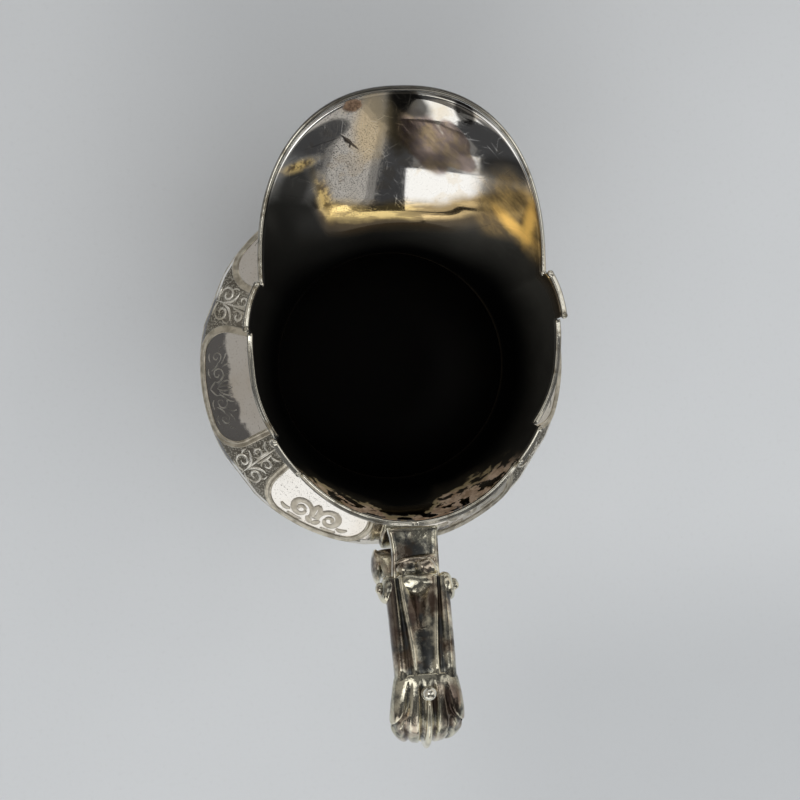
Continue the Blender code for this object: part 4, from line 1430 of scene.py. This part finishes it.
def paper_floor():
    """Pale grey paper under the jug, with a painted shadow beyond the lip and painted shade towards the
    handle's side.
    """
    material, place = new_finish("paper_floor")
    fibre = noise_at(place, 700.0, 4.0)
    base = noise_at(place, 9.0).blend(color(0.60, 0.615, 0.63), color(0.66, 0.675, 0.69))
    base = (fibre.ramp(0.5, 0.8) * 0.12).blend(base, color(0.48, 0.48, 0.48))
    across, along, _ = place_parts(place)
    # Painted shadow of the jug on the paper beyond its lip, and painted shade towards the handle's side
    # and the jug's right.
    sides = abs(across).ramp(0.030, 0.090)
    far = along.ramp(AXIS_Y + 0.030, AXIS_Y + 0.110) * (1.0 - sides * 0.8)
    near = along.ramp(-0.030, -0.090) * (0.10 + across.ramp(-0.030, 0.060) * 0.90)
    base = (far * 0.30 + near * 0.32).blend(base, color(0.35, 0.365, 0.38))
    dress(material, base, 0.0, 0.85, (0.1, 0.0002, fibre), 0.25)
    bm = bmesh.new()
    bmesh.ops.create_grid(bm, x_segments=1, y_segments=1, size=3.0)
    mesh = bpy.data.meshes.new("paper_floor")
    bm.to_mesh(mesh)
    bm.free()
    mesh.materials.append(material)
    floor = bpy.data.objects.new("paper_floor", mesh)
    bpy.context.scene.collection.objects.link(floor)


def softbox(name, sides, heights, glow, tint=(1.0, 0.99, 0.97), seen=True, distance=1.1, lean=0.0,
            floor_lit=True):
    """Soft panel that fills a window of directions, in degrees, as seen from the jug.

    Sides are counted from behind the handle, more to the jug's left; heights from the floor.
    """
    azimuth, elevation = math.radians(sum(sides) / 2), math.radians(sum(heights) / 2)
    flat = math.cos(elevation)
    light = bpy.data.lights.new(name, "AREA")
    light.shape = "RECTANGLE"
    light.size = 2 * distance * math.tan(math.radians(sides[1] - sides[0]) / 2 * flat)
    light.size_y = 2 * distance * math.tan(math.radians(heights[1] - heights[0]) / 2)
    light.energy = glow * math.pi * light.size * light.size_y
    light.color = tint
    lamp = bpy.data.objects.new(name, light)
    bpy.context.scene.collection.objects.link(lamp)
    way = Vector((-math.sin(azimuth) * flat, -math.cos(azimuth) * flat, math.sin(elevation)))
    lamp.location = Vector((0.0, AXIS_Y, 0.08)) + way * distance
    turn = way.to_track_quat("Z", "Y").to_matrix() @ Matrix.Rotation(math.radians(lean), 3, "Z")
    lamp.rotation_euler = turn.to_euler()
    lamp.visible_camera = False
    lamp.visible_glossy = seen
    lamp.visible_diffuse = floor_lit


def studio():
    world = bpy.context.scene.world or bpy.data.worlds.new("studio")
    bpy.context.scene.world = world
    world.use_nodes = True
    tone = Tone(world.node_tree)
    place = tone.node("TexCoord", output=0)
    height = place_parts(place)[2]
    sky = height.ramp(0.15, 0.95).blend(color(0.036, 0.036, 0.038), color(0.054, 0.054, 0.056))
    tone.plug(world.node_tree.nodes["Background"], {"Color": sky, "Strength": 1.0})
    warm, cool = (1.0, 0.94, 0.86), (0.965, 0.985, 1.0)
    softbox("window_left", (0.0, 48.0), (1.0, 27.0), 0.95)
    softbox("window_middle", (-7.0, 9.0), (29.0, 51.2), 1.04)
    softbox("window_corner", (5.5, 9.0), (51.5, 59.0), 0.8)
    softbox("window_high", (-6.0, 3.0), (59.0, 69.0), 0.5, warm)
    softbox("ceiling", (-8.0, 8.0), (52.0, 70.0), 0.12, warm)
    softbox("wall_strip", (-28.0, -21.0), (22.0, 70.0), 0.24, warm, lean=-9.0)
    softbox("wall_glow", (-29.0, -18.5), (22.0, 70.0), 0.15, warm, lean=-9.0)
    softbox("window_sill", (-34.0, 0.0), (6.0, 29.0), 0.82)
    softbox("side_wall", (55.0, 155.0), (1.0, 60.0), 0.30, warm)
    softbox("front_wall", (156.0, 204.0), (15.0, 41.0), 0.6)
    softbox("front_ceiling", (145.0, 215.0), (46.0, 78.0), 0.15)
    softbox("right_wall", (-122.0, -78.0), (30.0, 56.0), 0.8)
    softbox("right_fill", (-165.0, -60.0), (-2.0, 30.0), 0.56, warm)
    softbox("skylight", (-115.0, -70.0), (50.0, 80.0), 0.9)
    softbox("left_skylight", (72.0, 140.0), (54.0, 82.0), 1.7, floor_lit=False)
    softbox("overhead", (-95.0, 75.0), (25.0, 90.0), 1.63, cool, False, 1.7)


SENSOR_WIDTH = 36.0
FOCAL_LENGTH = 56.98
EYE = (-0.03346, 0.00607 + AXIS_Y, 0.36809)
EYE_TURNS = (("Z", 2.56), ("X", 2.72), ("Y", 6.69))


def camera():
    """Camera above the jug, tipped a little towards the handle's side."""
    lens = bpy.data.cameras.new("camera")
    lens.sensor_width = SENSOR_WIDTH
    lens.lens = FOCAL_LENGTH
    lens.clip_start = 0.01
    eye = bpy.data.objects.new("camera", lens)
    bpy.context.scene.collection.objects.link(eye)
    turn = Matrix.Identity(4)
    for axis, angle in EYE_TURNS:
        turn = turn @ Matrix.Rotation(math.radians(angle), 4, axis)
    eye.matrix_world = Matrix.Translation(EYE) @ turn.transposed()
    bpy.context.scene.camera = eye


paper_floor()
studio()
camera()

bpy.context.scene.view_settings.view_transform = "Standard"
